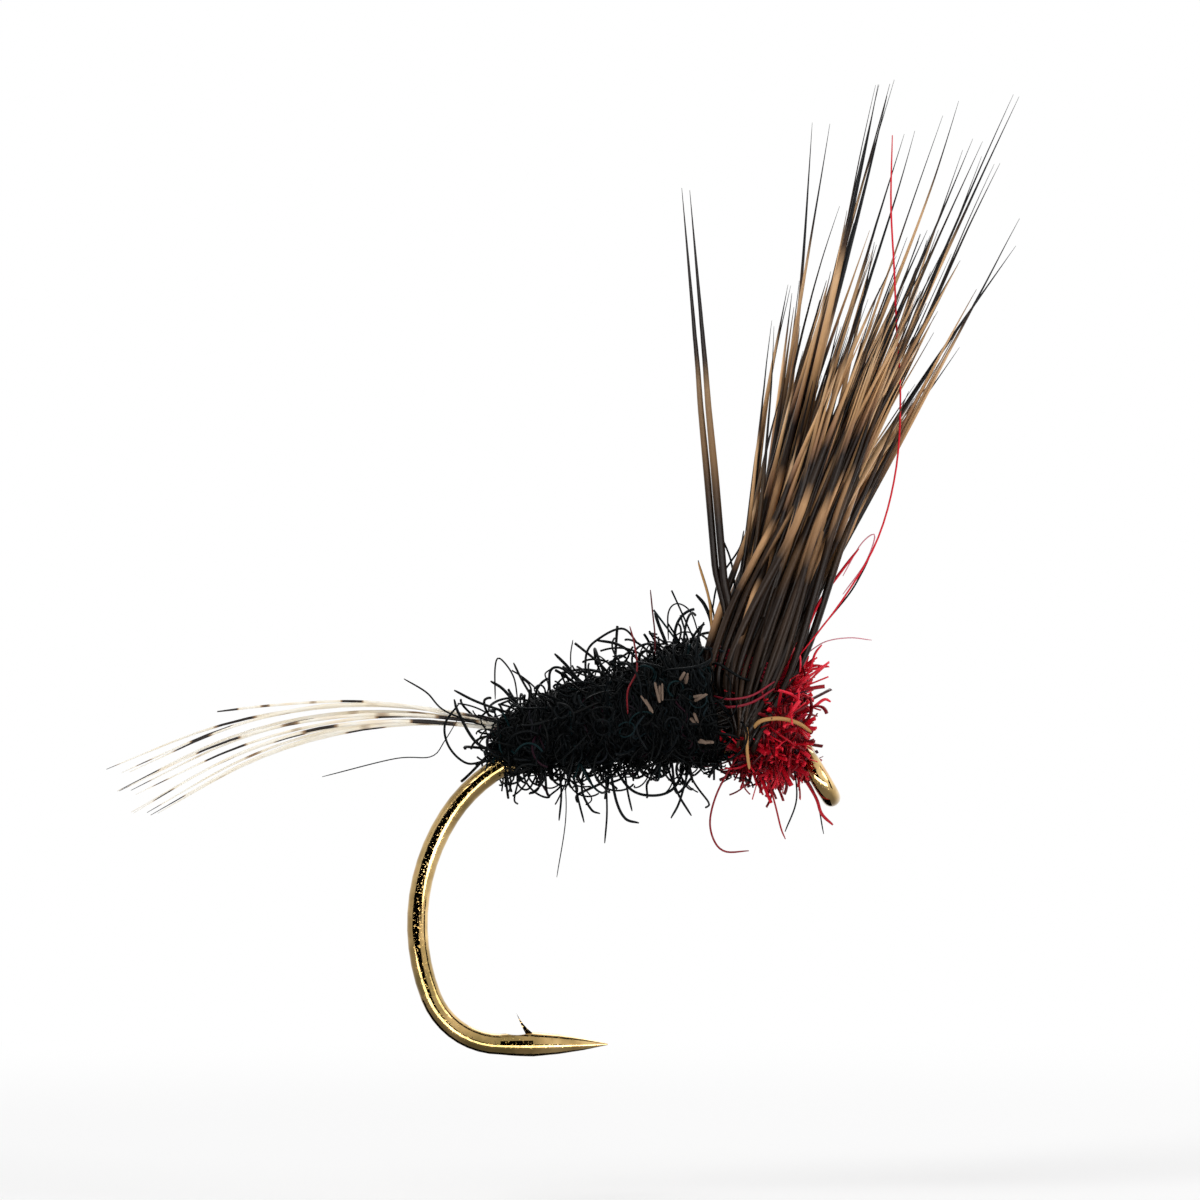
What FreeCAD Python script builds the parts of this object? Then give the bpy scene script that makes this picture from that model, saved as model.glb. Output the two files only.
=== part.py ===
import FreeCAD, Part
import math
import os

# A hair-winged dry fly tied on a light barbed hook. Millimetres throughout.
# The origin is the centre of the hook's eye. +X points forward, past the eye, +Z is up, and Y
# runs across the fly, with the near side at -Y.
# A place on the hook is given as a distance along its shank, rearward from the neck's bend.

V = FreeCAD.Vector
ACROSS = V(0, 1, 0)
REARWARD = V(-1, 0, 0)
GOLDEN = 0.618034                # spreads lengths evenly without a visible order
STRAIGHT = 1e-7                  # headings closer than this need no arc between them

# Hook: one length of wire, formed into an eye, a shank, a wide bend and a barbed point.
wireDia = 0.46
shankHeight = 0.68               # the shank's axis above the eye's centre
shankLength = 4.60               # straight part, from the neck's bend to the main bend
hookGap = 6.56                   # shank axis to point axis
bendForm = ((0.516, 57.2), (0.667, 54.2))   # radius as a share of the gap, and turn in degrees
bendTurn = 180.0                 # the last arc of the bend closes this half turn
spearLength = 2.35               # from the bend's end to the tip
spearSwell = 0.08                # how much thicker the wire is where it was struck for the barb
swellPlace = 0.72
swellFullness = 0.75             # share of the swell reached halfway up to its fullest place
taperFullness = 0.78             # share of the wire left halfway down the point's taper
tipDia = 0.03
barbRoot = (0.60, 0.88)          # where the barb's root starts and ends along the spear
barbRise = 0.69                  # the barb's tip above the spear's axis
barbReach = 0.35                 # the barb's tip along the spear
barbWidth = 0.20
barbSink = 0.14                  # the barb's root above the spear's axis, inside the wire
barbBows = (0.045, 0.010)        # how far its front and rear edges bow
notchDepth = 0.06                # cut that raised the barb
notchRadius = 0.90
eyeDroop = 59.0                  # the eye's plane below the shank, in degrees
eyeWireDia = 0.42
eyeBoreDia = 0.68                # the coined land that the line passes through
eyeLandDepth = 0.02              # how far the land is coined into the ring

# Tying thread, wound in touching turns over the shank.
threadDia = 0.09
turnGap = 0.01                   # between one turn and the next
windingGap = 0.006               # between a winding and what it lies on
baseStart = 0.44                 # the thread base along the shank
basePast = 1.35                  # how far it runs on round the bend

# Tail: barred hackle fibres stacked on top of the shank.
fibreDia = 0.08
fibreRows = (5, 4, 3)            # from the shank up
fibreGap = 0.012
tailButt = 0.85                  # the fibres' cut ends, forward of the shank's end
tailBindStart = 0.45             # the first turn of their binding, forward of the shank's end
tailBindTurns = 6
tailLift = 1.45                  # where the fibres start to rise, past the shank's end
tailRise = (6.0, 8.0, 10.0)      # heading above level, by row, in degrees
tailFall = (-30.0, -27.0, -24.0)  # heading at the tip, by row, in degrees
tailBend = (9.4, 9.8, 10.2)      # radius of the long droop, by row
tailRiseRadius = 4.0
tailRun = 0.30
tailYaw = 5.0                    # outermost fibres, out to each side, in degrees
tailTip = 1.5                    # tapered end
tailTipShare = 0.3               # tip's radius as a share of the fibre's
tailStagger = 0.8                # the longest tip past the shortest

# Body: a rope of dubbing wound forward in lobes, fattening over the wing's trimmed butts.
bodyPast = 1.70                  # how far it runs on past the shank's end
bodyAhead = 0.24                 # how far it runs on ahead of the wing's bend
bodyRearCover = 0.155            # dubbing over the tail and the wire at the rear
bodyFrontCover = 0.52            # dubbing over the wing's tie
bodyRearRise = 0.05              # its axis above the middle of what it covers
bodyFrontRise = 0.24
bodyFlare = 1.5                  # power of the growth from rear to front
bodyLobes = 9
lobeBulge = 0.09
dubbingGap = 0.02                # between dubbing and what it is wound over

# Wing: a bundle of hair tied round the top of the shank, butts rearward, and stood upright.
hairDia = 0.15
hairGap = 0.065
bundleRadius = 0.90
bundleLift = 0.66                # the bundle's axis above the shank's
wingBend = 1.87                  # where the hair turns up, along the shank
innerBend = 0.25                 # bend radius of the rearmost hair
buttTrim = (0.88, 0.22)          # trimmed end past the bend on the bundle's axis, and its slant
wingTilt = 19.4                  # the wing's lean forward, in degrees
wingFan = 7.3                    # outermost hairs fore and aft of that, in degrees
wingSplay = 15.0                 # outermost hairs to each side, in degrees
flareRadius = 2.0
wingLength = 13.2                # longest hair above the post
lengthSpread = 0.24              # shortest hair as a share below the longest
edgeShorter = 0.16               # extra share lost at the wing's front and rear edges
hairTip = 4.2                    # long tapered tips
hairTipDia = 0.03
strayCount = 2
strayTilt = -5.3                 # stray hairs that lean back behind the wing
straySplay = -9.0
strayLength = 9.2
tieTurns = 5
tieStart = 0.15                  # past the bend
postTurns = 5
postStart = 0.08
postSpare = 0.10

# Thorax: red dubbing wound in front of the wing and round its root.
thoraxBehind = 0.72              # its rear end, forward of the wing's bend
thoraxAhead = 0.345              # its front end past the foremost hair at the post
thoraxLift = 0.44                # its axis above the shank's
thoraxCover = (0.08, 0.34, 0.32, -0.04)   # past the bundle's radius, between its lobes

# Head: a whip finish behind the eye under a coat of cement.
headStart = 0.05
headTurns = 4
cementThickness = 0.05
cementOverlap = 0.02             # cement past the first and last turn

# Derived sizes.
wireR = wireDia / 2
threadR = threadDia / 2
fibreR = fibreDia / 2
hairR = hairDia / 2
threadPitch = threadDia + turnGap
windR = wireR + windingGap + threadR           # centre of a thread turn on the bare wire
baseR = windR + threadR                        # outside of the thread base
droop = math.radians(eyeDroop)
eyeDown = V(math.cos(droop), 0, -math.sin(droop))
eyeNormal = V(math.sin(droop), 0, math.cos(droop))
eyeRingR = eyeBoreDia / 2 - eyeLandDepth + eyeWireDia / 2
neckTangent = shankHeight / math.sin(droop) - eyeRingR
neckRadius = neckTangent / math.tan(droop / 2)
shankStart = V(-shankHeight / math.tan(droop) - neckTangent, 0, shankHeight)
bendRadius = bendForm[0][0] * hookGap


def unit(vector):
    return V(vector).normalize()


def compass(degrees, yaw=0.0):
    # A heading that many degrees above rearward, turned sideways by yaw.
    rise = math.radians(degrees)
    side = math.radians(yaw)
    return V(-math.cos(rise) * math.cos(side), math.sin(side), math.sin(rise) * math.cos(side))


def upright(tilt, splay=0.0):
    # A heading that leans forward from straight up by tilt, and sideways by splay.
    lean = math.radians(tilt)
    side = math.radians(splay)
    return V(math.sin(lean) * math.cos(side), math.sin(side), math.cos(lean) * math.cos(side))


class Route:
    # A path of straight runs joined by tangent arcs.
    def __init__(self, point, heading):
        self.start = V(point)
        self.first = unit(heading)
        self.point = V(point)
        self.heading = unit(heading)
        self.edges = []

    def run(self, length):
        end = self.point + self.heading * length
        self.edges.append(Part.LineSegment(self.point, end).toShape())
        self.point = end
        return self

    def turn(self, heading, radius):
        target = unit(heading)
        axis = self.heading.cross(target)
        if axis.Length < STRAIGHT:
            return self
        angle = math.degrees(math.atan2(axis.Length, self.heading.dot(target)))
        axis.normalize()
        inward = axis.cross(self.heading) * radius
        centre = self.point + inward
        middle = centre - FreeCAD.Rotation(axis, angle / 2).multVec(inward)
        end = centre - FreeCAD.Rotation(axis, angle).multVec(inward)
        self.edges.append(Part.Arc(self.point, middle, end).toShape())
        self.point = end
        self.heading = target
        return self

    def tube(self, radius):
        section = Part.Wire(Part.makeCircle(radius, self.start, self.first))
        return Part.Wire(self.edges).makePipeShell([section], True, False)

    def strand(self, radius, tipLength, tipRadius):
        # The tube with a tapered end beyond its last point.
        taper = Part.makeCone(radius, tipRadius, tipLength, self.point, self.heading)
        return self.tube(radius).fuse(taper).removeSplitter()


def shankPlace(distance):
    # The wire's centre and its rearward heading at a distance along the shank: on the neck's
    # bend where it is negative, and on the main bend past the shank's length.
    if distance < 0:
        angle = -distance / neckRadius
        point = shankStart + V(math.sin(angle), 0, math.cos(angle) - 1) * neckRadius
        return point, V(-math.cos(angle), 0, math.sin(angle))
    if distance <= shankLength:
        return shankStart + REARWARD * distance, REARWARD
    angle = (distance - shankLength) / bendRadius
    bendStart = shankStart + REARWARD * shankLength
    point = bendStart + V(-math.sin(angle), 0, math.cos(angle) - 1) * bendRadius
    return point, V(-math.cos(angle), 0, -math.sin(angle))


def above(distance, height):
    # A point at that distance along the straight shank and height above its axis.
    return shankStart + REARWARD * distance + V(0, 0, height)


def turns(start, count, radius, lift=0.0):
    # Touching turns of thread round the hook, each a closed ring.
    rings = []
    for number in range(count):
        point, heading = shankPlace(start + number * threadPitch)
        rings.append(Part.makeTorus(radius, threadR, point + V(0, 0, lift), heading))
    return rings


def lobedSolid(rear, front, radii, bulge):
    # A solid of revolution from rear to front whose outline bulges between its valley radii.
    axis = front - rear
    length = axis.Length
    axis.normalize()
    outward = axis.cross(ACROSS) * -1
    step = length / (len(radii) - 1)
    valleys = [rear + axis * (step * n) + outward * radii[n] for n in range(len(radii))]
    edges = [Part.LineSegment(rear, valleys[0]).toShape()]
    for low, high in zip(valleys, valleys[1:]):
        crown = (low + high) * 0.5 + outward * bulge
        edges.append(Part.Arc(low, crown, high).toShape())
    edges.append(Part.LineSegment(valleys[-1], front).toShape())
    edges.append(Part.LineSegment(front, rear).toShape())
    return Part.Face(Part.Wire(edges)).revolve(rear, axis, 360)


# ---------------------------------------------------------------- hook

def hookBend():
    # The neck, shank and bend in one sweep of the wire.
    route = Route(eyeDown * -eyeRingR, eyeDown * -1)
    route.turn(REARWARD, neckRadius)
    route.run(shankLength)
    turned = 0.0
    closed = 0.0
    for share, turn in bendForm:
        before = math.cos(math.radians(turned))
        turned += turn
        closed += share * hookGap * (before - math.cos(math.radians(turned)))
        route.turn(compass(-turned), share * hookGap)
    lastRadius = (hookGap - closed) / (math.cos(math.radians(turned)) + 1)
    route.turn(compass(-bendTurn), lastRadius)
    return route.tube(wireR), route.point


def hookSpear(start):
    # The straight point beyond the bend, swollen where the wire was struck for the barb.
    def at(along, radius):
        return start + V(along, 0, radius)
    taperMiddle = (swellPlace + spearLength) / 2
    swollen = (wireDia + spearSwell) / 2
    swelling = wireR + spearSwell / 2 * swellFullness
    outline = [
        Part.LineSegment(start, at(0, wireR)).toShape(),
        Part.Arc(at(0, wireR), at(swellPlace / 2, swelling), at(swellPlace, swollen)).toShape(),
        Part.Arc(at(swellPlace, swollen), at(taperMiddle, wireR * taperFullness),
                 at(spearLength, tipDia / 2)).toShape(),
        Part.LineSegment(at(spearLength, tipDia / 2), at(spearLength, 0)).toShape(),
        Part.LineSegment(at(spearLength, 0), start).toShape(),
    ]
    spear = Part.Face(Part.Wire(outline)).revolve(start, V(1, 0, 0), 360)
    notchCentre = at(barbReach, swollen - notchDepth + notchRadius) - ACROSS * wireDia
    return spear.cut(Part.makeCylinder(notchRadius, wireDia * 2, notchCentre, ACROSS))


def hookBarb(start):
    # A thorn that leans back towards the bend.
    rear = start + V(barbRoot[0], -barbWidth / 2, barbSink)
    front = start + V(barbRoot[1], -barbWidth / 2, barbSink)
    tip = start + V(barbReach, -barbWidth / 2, barbRise)
    inward = V(-1, 0, -1)
    outline = [
        Part.LineSegment(rear, front).toShape(),
        Part.Arc(front, (front + tip) * 0.5 + inward * barbBows[0], tip).toShape(),
        Part.Arc(tip, (tip + rear) * 0.5 + inward * barbBows[1], rear).toShape(),
    ]
    return Part.Face(Part.Wire(outline)).extrude(ACROSS * barbWidth)


def hook():
    bend, spearStart = hookBend()
    ring = Part.makeTorus(eyeRingR, eyeWireDia / 2, V(0, 0, 0), eyeNormal)
    body = bend.multiFuse([hookSpear(spearStart), hookBarb(spearStart), ring])
    land = Part.makeCylinder(eyeBoreDia / 2, eyeWireDia * 3, eyeNormal * (-eyeWireDia * 1.5), eyeNormal)
    return body.cut(land).removeSplitter()


# ---------------------------------------------------------------- tail

def tailHeights():
    # Height of each row of fibres above the shank's axis.
    pitch = fibreDia + fibreGap
    return [baseR + windingGap + fibreR + pitch * row for row in range(len(fibreRows))]


def tailFibres():
    # Each fibre lies along the shank, rises off it and droops to its tip, fanned to its side.
    pitch = fibreDia + fibreGap
    fibres = {}
    for row, count in enumerate(fibreRows):
        for place in range(count):
            offset = place - (count - 1) / 2
            number = len(fibres) + 1
            yaw = tailYaw * offset / ((fibreRows[0] - 1) / 2)
            butt = above(shankLength - tailButt, tailHeights()[row]) + ACROSS * (offset * pitch)
            route = Route(butt, REARWARD)
            route.run(tailButt + tailLift)
            route.turn(compass(tailRise[row], yaw), tailRiseRadius)
            route.run(tailRun + tailStagger * (number * GOLDEN % 1))
            route.turn(compass(tailFall[row], yaw), tailBend[row])
            fibres[f"tail_fibre_{number:02d}"] = route.strand(fibreR, tailTip, fibreR * tailTipShare)
    return fibres


def tailStackReach(lift):
    # How far the stack of fibres reaches from a point that height above the shank's axis.
    halves = [(count - 1) / 2 * (fibreDia + fibreGap) for count in fibreRows]
    return max(math.hypot(half, height - lift) for half, height in zip(halves, tailHeights())) + fibreR


tailTop = tailHeights()[-1] + fibreR
tailRingLift = (tailTop - baseR) / 2
tailRingR = max(tailStackReach(tailRingLift), tailRingLift + baseR) + windingGap + threadR


# ---------------------------------------------------------------- wing

bundleZ = shankHeight + bundleLift
bundleTop = bundleLift + bundleRadius
bendCentre = above(wingBend, bundleTop - hairR + innerBend)
bundleBend = bendCentre.z - bundleZ            # bend radius of the bundle's own axis
wingHeading = upright(wingTilt)
wingForward = V(wingHeading.z, 0, -wingHeading.x)
postBase = bendCentre + wingForward * bundleBend
postLength = postStart + postTurns * threadPitch + postSpare
postRingR = bundleRadius + windingGap + threadR
tieBottom = min(bundleLift - bundleRadius, -baseR)
tieRingR = (bundleTop - tieBottom) / 2 + windingGap + threadR
tieRingLift = (bundleTop + tieBottom) / 2


def hairPlaces():
    # (side, height above the shank's axis) of each hair, close-packed in the bundle and clear
    # of the thread base that it is tied round, and of the base's sides on its way up.
    pitch = hairDia + hairGap
    rise = pitch * math.sqrt(3) / 2
    count = int(bundleRadius / rise) + 1
    places = []
    for row in range(-count, count + 1):
        shift = pitch / 2 * (row % 2)
        for column in range(-count, count + 1):
            side = column * pitch + shift
            height = bundleLift + row * rise
            inBundle = math.hypot(side, row * rise) <= bundleRadius - hairR
            onBase = math.hypot(side, max(height, 0.0)) < baseR + hairR + windingGap
            if inBundle and not onBase:
                places.append((side, height))
    return places


def hairRoute(side, height):
    # From the trimmed butt along the shank, round the bend and up through the post.
    butt = buttTrim[0] + (bundleLift - height) * buttTrim[1]
    route = Route(above(wingBend + butt, height) + ACROSS * side, REARWARD * -1)
    route.run(butt)
    route.turn(wingHeading, bendCentre.z - shankHeight - height)
    return route.run(postLength)


def wingHairs():
    # Hairs grouped by where they stand in the wing, with the strays in a group of their own.
    places = hairPlaces()
    strays = sorted(places, key=lambda place: place[0] - place[1])[:strayCount]
    groups = {"wing_stray_hairs": []}
    for number, (side, height) in enumerate(places):
        route = hairRoute(side, height)
        if (side, height) in strays:
            route.turn(upright(strayTilt, straySplay - number * 0.1), flareRadius)
            route.run(strayLength - hairTip)
            groups["wing_stray_hairs"].append(route.strand(hairR, hairTip, hairTipDia / 2))
            continue
        fore = (bundleLift - height) / bundleRadius
        out = side / bundleRadius
        shorter = lengthSpread * (number * GOLDEN % 1) + edgeShorter * fore * fore
        route.turn(upright(wingTilt + wingFan * fore, wingSplay * out), flareRadius)
        route.run(wingLength * (1 - shorter) - hairTip)
        across = "near" if out < -1 / 3 else "far" if out > 1 / 3 else "centre"
        along = "rear" if fore < -1 / 3 else "front" if fore > 1 / 3 else "middle"
        lock = groups.setdefault(f"wing_lock_{across}_{along}", [])
        lock.append(route.strand(hairR, hairTip, hairTipDia / 2))
    return groups


def postTurnRings():
    rings = []
    for number in range(postTurns):
        centre = postBase + wingHeading * (postStart + threadR + number * threadPitch)
        rings.append(Part.makeTorus(postRingR, threadR, centre, wingHeading))
    return rings


def bundleRoom():
    # The space that the bundle, its tie and its post wraps take out of the dubbing round them.
    tieRoom = tieRingR + threadR + dubbingGap
    bendRoom = bundleRadius + dubbingGap
    postRoom = postRingR + threadR + dubbingGap
    trimEnd = buttTrim[0] + bundleRadius * buttTrim[1] + dubbingGap
    butts = Part.makeCylinder(tieRoom, trimEnd, above(wingBend + trimEnd, tieRingLift), V(1, 0, 0))
    section = Part.Face(Part.Wire(Part.makeCircle(bendRoom, above(wingBend, bundleLift), V(1, 0, 0))))
    bend = section.revolve(bendCentre, ACROSS * -1, 90 - wingTilt)
    post = Part.makeCylinder(postRoom, wingLength, postBase, wingHeading)
    return [butts, bend, post]


# ---------------------------------------------------------------- dubbing

def wireRoom(radius):
    # The hook's wire from the eye to past the body's rear, at a larger radius.
    route = Route(eyeDown * -eyeRingR, eyeDown * -1)
    route.turn(REARWARD, neckRadius).run(shankLength)
    route.turn(compass(-bendForm[0][1]), bendRadius)
    return route.tube(radius)


def tailRoom():
    # The space of the tail's fibres, out past the body's rear, and of their binding.
    width = max(fibreRows) * (fibreDia + fibreGap) + dubbingGap * 2
    ends = tailButt + dubbingGap
    past = bodyPast * 2
    corner = above(shankLength + past, wireR) - ACROSS * (width / 2)
    fibres = Part.makeBox(ends + past, width, tailTop - wireR + dubbingGap, corner)
    first = shankLength - tailBindStart - threadR - dubbingGap
    length = tailBindTurns * threadPitch + dubbingGap * 2
    binding = Part.makeCylinder(tailRingR + threadR + dubbingGap, length,
                                above(first, tailRingLift), REARWARD)
    return [fibres, binding]


def bodyDubbing():
    rearPlace = shankLength + bodyPast
    rearBottom = shankPlace(rearPlace)[0].z - shankHeight - baseR
    rearRadius = (tailTop - rearBottom) / 2 + bodyRearCover
    rear = above(rearPlace, (tailTop + rearBottom) / 2 + bodyRearRise)
    front = above(wingBend - bodyAhead, tieRingLift + bodyFrontRise)
    growth = tieRingR + threadR + bodyFrontCover - rearRadius
    radii = [rearRadius + growth * (n / bodyLobes) ** bodyFlare for n in range(bodyLobes + 1)]
    rooms = [wireRoom(baseR + dubbingGap)] + tailRoom() + bundleRoom()
    return lobedSolid(rear, front, radii, lobeBulge).cut(rooms).removeSplitter()


def thoraxDubbing():
    rear = above(wingBend - thoraxBehind, thoraxLift)
    foremost = bendCentre + wingForward * (bundleBend + bundleRadius)
    front = V(foremost.x + thoraxAhead, 0, rear.z)
    radii = [bundleRadius + cover for cover in thoraxCover]
    headRoom = baseR + windingGap + cementThickness + dubbingGap
    eyeRoom = Part.makeTorus(eyeRingR, eyeWireDia / 2 + dubbingGap, V(0, 0, 0), eyeNormal)
    rooms = [wireRoom(headRoom), eyeRoom] + bundleRoom()
    return lobedSolid(rear, front, radii, lobeBulge).cut(rooms).removeSplitter()


# ---------------------------------------------------------------- head

def headCement():
    # A thin coat over the whip finish.
    first = above(headStart - threadR - cementOverlap, 0)
    length = (headTurns - 1) * threadPitch + threadDia + cementOverlap * 2
    inner = baseR + windingGap
    coat = Part.makeCylinder(inner + cementThickness, length, first, REARWARD)
    return coat.cut(Part.makeCylinder(inner, length, first, REARWARD))


def exportNode(name, solids):
    shape = solids[0] if len(solids) == 1 else Part.makeCompound(solids)
    shape.exportStep(f"parts/{name}.step")


baseTurns = int((shankLength + basePast - baseStart) / threadPitch)
nodes = {
    "hook": [hook()],
    "shank_thread_base": turns(baseStart, baseTurns, windR),
    "tail_binding": turns(shankLength - tailBindStart, tailBindTurns, tailRingR, tailRingLift),
    "body_dubbing": [bodyDubbing()],
    "wing_tie_wraps": turns(wingBend + tieStart, tieTurns, tieRingR, tieRingLift),
    "wing_post_wraps": postTurnRings(),
    "thorax_dubbing": [thoraxDubbing()],
    "head_whip_finish": turns(headStart, headTurns, windR),
    "head_cement": [headCement()],
}
nodes.update({name: [fibre] for name, fibre in tailFibres().items()})
nodes.update(wingHairs())

os.makedirs("parts", exist_ok=True)
for name, solids in nodes.items():
    exportNode(name, solids)
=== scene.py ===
import math
import bpy
import numpy as np
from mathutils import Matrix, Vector
from mathutils.bvhtree import BVHTree


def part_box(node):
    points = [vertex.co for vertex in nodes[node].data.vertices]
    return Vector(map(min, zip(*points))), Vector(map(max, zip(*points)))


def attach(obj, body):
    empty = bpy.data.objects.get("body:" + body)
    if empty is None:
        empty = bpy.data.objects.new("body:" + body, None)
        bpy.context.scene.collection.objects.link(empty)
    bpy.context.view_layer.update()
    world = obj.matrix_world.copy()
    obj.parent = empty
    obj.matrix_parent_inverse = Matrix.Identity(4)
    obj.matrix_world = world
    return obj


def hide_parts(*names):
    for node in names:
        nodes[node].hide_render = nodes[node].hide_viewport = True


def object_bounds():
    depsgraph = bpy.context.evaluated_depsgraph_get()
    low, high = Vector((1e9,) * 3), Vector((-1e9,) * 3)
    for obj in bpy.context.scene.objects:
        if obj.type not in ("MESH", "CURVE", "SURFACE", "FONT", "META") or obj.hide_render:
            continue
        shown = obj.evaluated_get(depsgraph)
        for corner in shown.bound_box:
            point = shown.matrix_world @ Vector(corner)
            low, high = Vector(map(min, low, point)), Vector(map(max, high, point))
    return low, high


# The looks of a hair-winged dry fly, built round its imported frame.
# Lengths are millimetres here, and become metres where a mesh, a lamp or the camera is made.

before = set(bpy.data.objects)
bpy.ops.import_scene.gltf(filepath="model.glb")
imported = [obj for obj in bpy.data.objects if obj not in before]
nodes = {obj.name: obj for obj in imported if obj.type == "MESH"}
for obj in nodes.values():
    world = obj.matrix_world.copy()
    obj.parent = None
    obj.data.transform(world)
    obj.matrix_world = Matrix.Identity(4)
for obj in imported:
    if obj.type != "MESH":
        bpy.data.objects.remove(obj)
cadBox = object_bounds()
toMetres = 0.001
lowest, highest = [np.array(corner) / toMetres for corner in cadBox]
middle = (lowest + highest) / 2
print("frame loaded:", len(nodes), "nodes")


def boxOf(node):
    # a CAD node's lowest and highest corner
    return [np.array(corner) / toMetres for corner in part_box(node)]


# The camera stands level with the fly and looks straight across it
cameraSet = {"aim": (0.85, 0.0, -0.68),   # from the middle of the object's box
             "lens": 200.0, "sensor": 36.0,
             "wide": 26.4,                # what the view spans from side to side
             "clip": (0.001, 10.0)}       # metres


def makeCamera():
    camera = bpy.data.objects.new("camera", bpy.data.cameras.new("camera"))
    bpy.context.scene.collection.objects.link(camera)
    aim = middle + cameraSet["aim"]
    back = cameraSet["wide"] * cameraSet["lens"] / cameraSet["sensor"]
    camera.location = Vector((aim[0], aim[1] - back, aim[2])) * toMetres
    camera.rotation_euler = (math.radians(90), 0, 0)
    camera.data.lens = cameraSet["lens"]
    camera.data.sensor_width = cameraSet["sensor"]
    camera.data.clip_start, camera.data.clip_end = cameraSet["clip"]
    bpy.context.scene.camera = camera


makeCamera()
bpy.context.scene.view_settings.view_transform = "Standard"


def hexColour(code):
    # sRGB hex to the linear colour that a shader takes
    parts = [int(code[k:k + 2], 16) / 255 for k in (1, 3, 5)]
    return [c / 12.92 if c <= 0.04045 else ((c + 0.055) / 1.055) ** 2.4 for c in parts] + [1.0]


def perMm(count):
    # a pattern's scale, from how many of its features lie in a millimetre
    return count / toMetres


def addNode(tree, kind, settings=(), inputs=(), stops=()):
    # one node with its settings, its inputs as numbers or (node, output), and a ramp's stops
    node = tree.nodes.new(kind)
    for key, value in dict(settings).items():
        setattr(node, key, value)
    for key, value in dict(inputs).items():
        if isinstance(value, tuple) and hasattr(value[0], "outputs"):
            tree.links.new(value[0].outputs[value[1]], node.inputs[key])
        else:
            node.inputs[key].default_value = value
    if stops:
        elements = node.color_ramp.elements
        elements.remove(elements[-1])
        elements[0].position = stops[0][0]
        elements[0].color = hexColour(stops[0][1])
        for position, code in stops[1:]:
            elements.new(position).color = hexColour(code)
    return node


def newTree(name):
    material = bpy.data.materials.new(name)
    material.use_nodes = True
    material.node_tree.nodes.clear()
    return material, material.node_tree


metalSet = {"gold": [(0.32, "#86703c"), (0.45, "#ab8c55"), (0.57, "#d0b075"), (0.68, "#c49463")],
            "patches": 1.1,             # to the millimetre: where the bronzing lies thicker or thinner
            "pits": 24.0,               # to the millimetre: real ones are several times finer and wouldn't show
            "pitRange": (0.61, 0.73),   # how much of the surface is pitted
            "pitDepth": 0.02, "pitStrength": 0.16,
            "roughness": (0.04, 0.12), "lacquer": 0.5, "lacquerRoughness": 0.05}


def bronzedHook():
    # Carbon steel wire, drawn, bronzed and lacquered: a dark gold metal that mirrors what is
    # round it in long streaks, broken up by the drawing's fine pits.
    material, tree = newTree("bronzed lacquered steel wire")
    place = addNode(tree, "ShaderNodeTexCoord")
    patches = addNode(tree, "ShaderNodeTexNoise", {}, {
        "Vector": (place, "Object"), "Scale": perMm(metalSet["patches"]), "Detail": 5.0})
    colour = addNode(tree, "ShaderNodeValToRGB", {}, {"Fac": (patches, "Fac")}, metalSet["gold"])
    grain = addNode(tree, "ShaderNodeTexNoise", {}, {
        "Vector": (place, "Object"), "Scale": perMm(metalSet["pits"]), "Detail": 2.0})
    pits = addNode(tree, "ShaderNodeMapRange", {}, {
        "Value": (grain, "Fac"), "From Min": metalSet["pitRange"][0], "From Max": metalSet["pitRange"][1]})
    bump = addNode(tree, "ShaderNodeBump", {}, {
        "Height": (pits, "Result"), "Strength": metalSet["pitStrength"],
        "Distance": metalSet["pitDepth"] * toMetres})
    rough = addNode(tree, "ShaderNodeMapRange", {}, {
        "Value": (patches, "Fac"), "To Min": metalSet["roughness"][0], "To Max": metalSet["roughness"][1]})
    shader = addNode(tree, "ShaderNodeBsdfPrincipled", {}, {
        "Base Color": (colour, "Color"), "Metallic": 1.0, "Roughness": (rough, "Result"),
        "Normal": (bump, "Normal"), "Coat Weight": metalSet["lacquer"],
        "Coat Roughness": metalSet["lacquerRoughness"]})
    addNode(tree, "ShaderNodeOutputMaterial", {}, {"Surface": (shader, "BSDF")})
    return material


def fibreMaterial(name, stops, roughness, specular):
    # Fibre of one kind: each fibre takes its own colour from its random tone
    material, tree = newTree(name)
    tone = addNode(tree, "ShaderNodeAttribute", {"attribute_name": "tone"})
    colour = addNode(tree, "ShaderNodeValToRGB", {}, {"Fac": (tone, "Fac")}, stops)
    shader = addNode(tree, "ShaderNodeBsdfPrincipled", {}, {
        "Base Color": (colour, "Color"), "Roughness": roughness, "Specular IOR Level": specular})
    addNode(tree, "ShaderNodeOutputMaterial", {}, {"Surface": (shader, "BSDF")})
    return material


hairSet = {"short": [(0.0, "#150f0b"), (0.24, "#32241a"), (0.41, "#271b13"), (0.47, "#94704f"), (0.54, "#b98f66"),
                     (0.59, "#2e231b"), (0.67, "#241b17"), (0.72, "#936d50"), (0.80, "#c69b6c"), (0.89, "#dbb58c"),
                     (0.95, "#6d4f34"), (0.98, "#1c1614")],
           "long": [(0.0, "#130d09"), (0.18, "#35261b"), (0.38, "#261a12"), (0.52, "#1a1310"), (0.58, "#6f5235"),
                    (0.64, "#ba9064"), (0.75, "#d3ab80"), (0.80, "#3a2a20"), (0.84, "#101113")],
           "shift": 0.12,              # how far a hair's bands move, as a share of its length
           "dull": "#281a12", "dullFrom": (0.55, 0.8), "dullMost": 0.85,   # the hairs with hardly any bands
           "level": (1.25, 0.45),      # from the brightest hair to the dullest
           "roughness": 0.40, "specular": 0.2}


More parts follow.
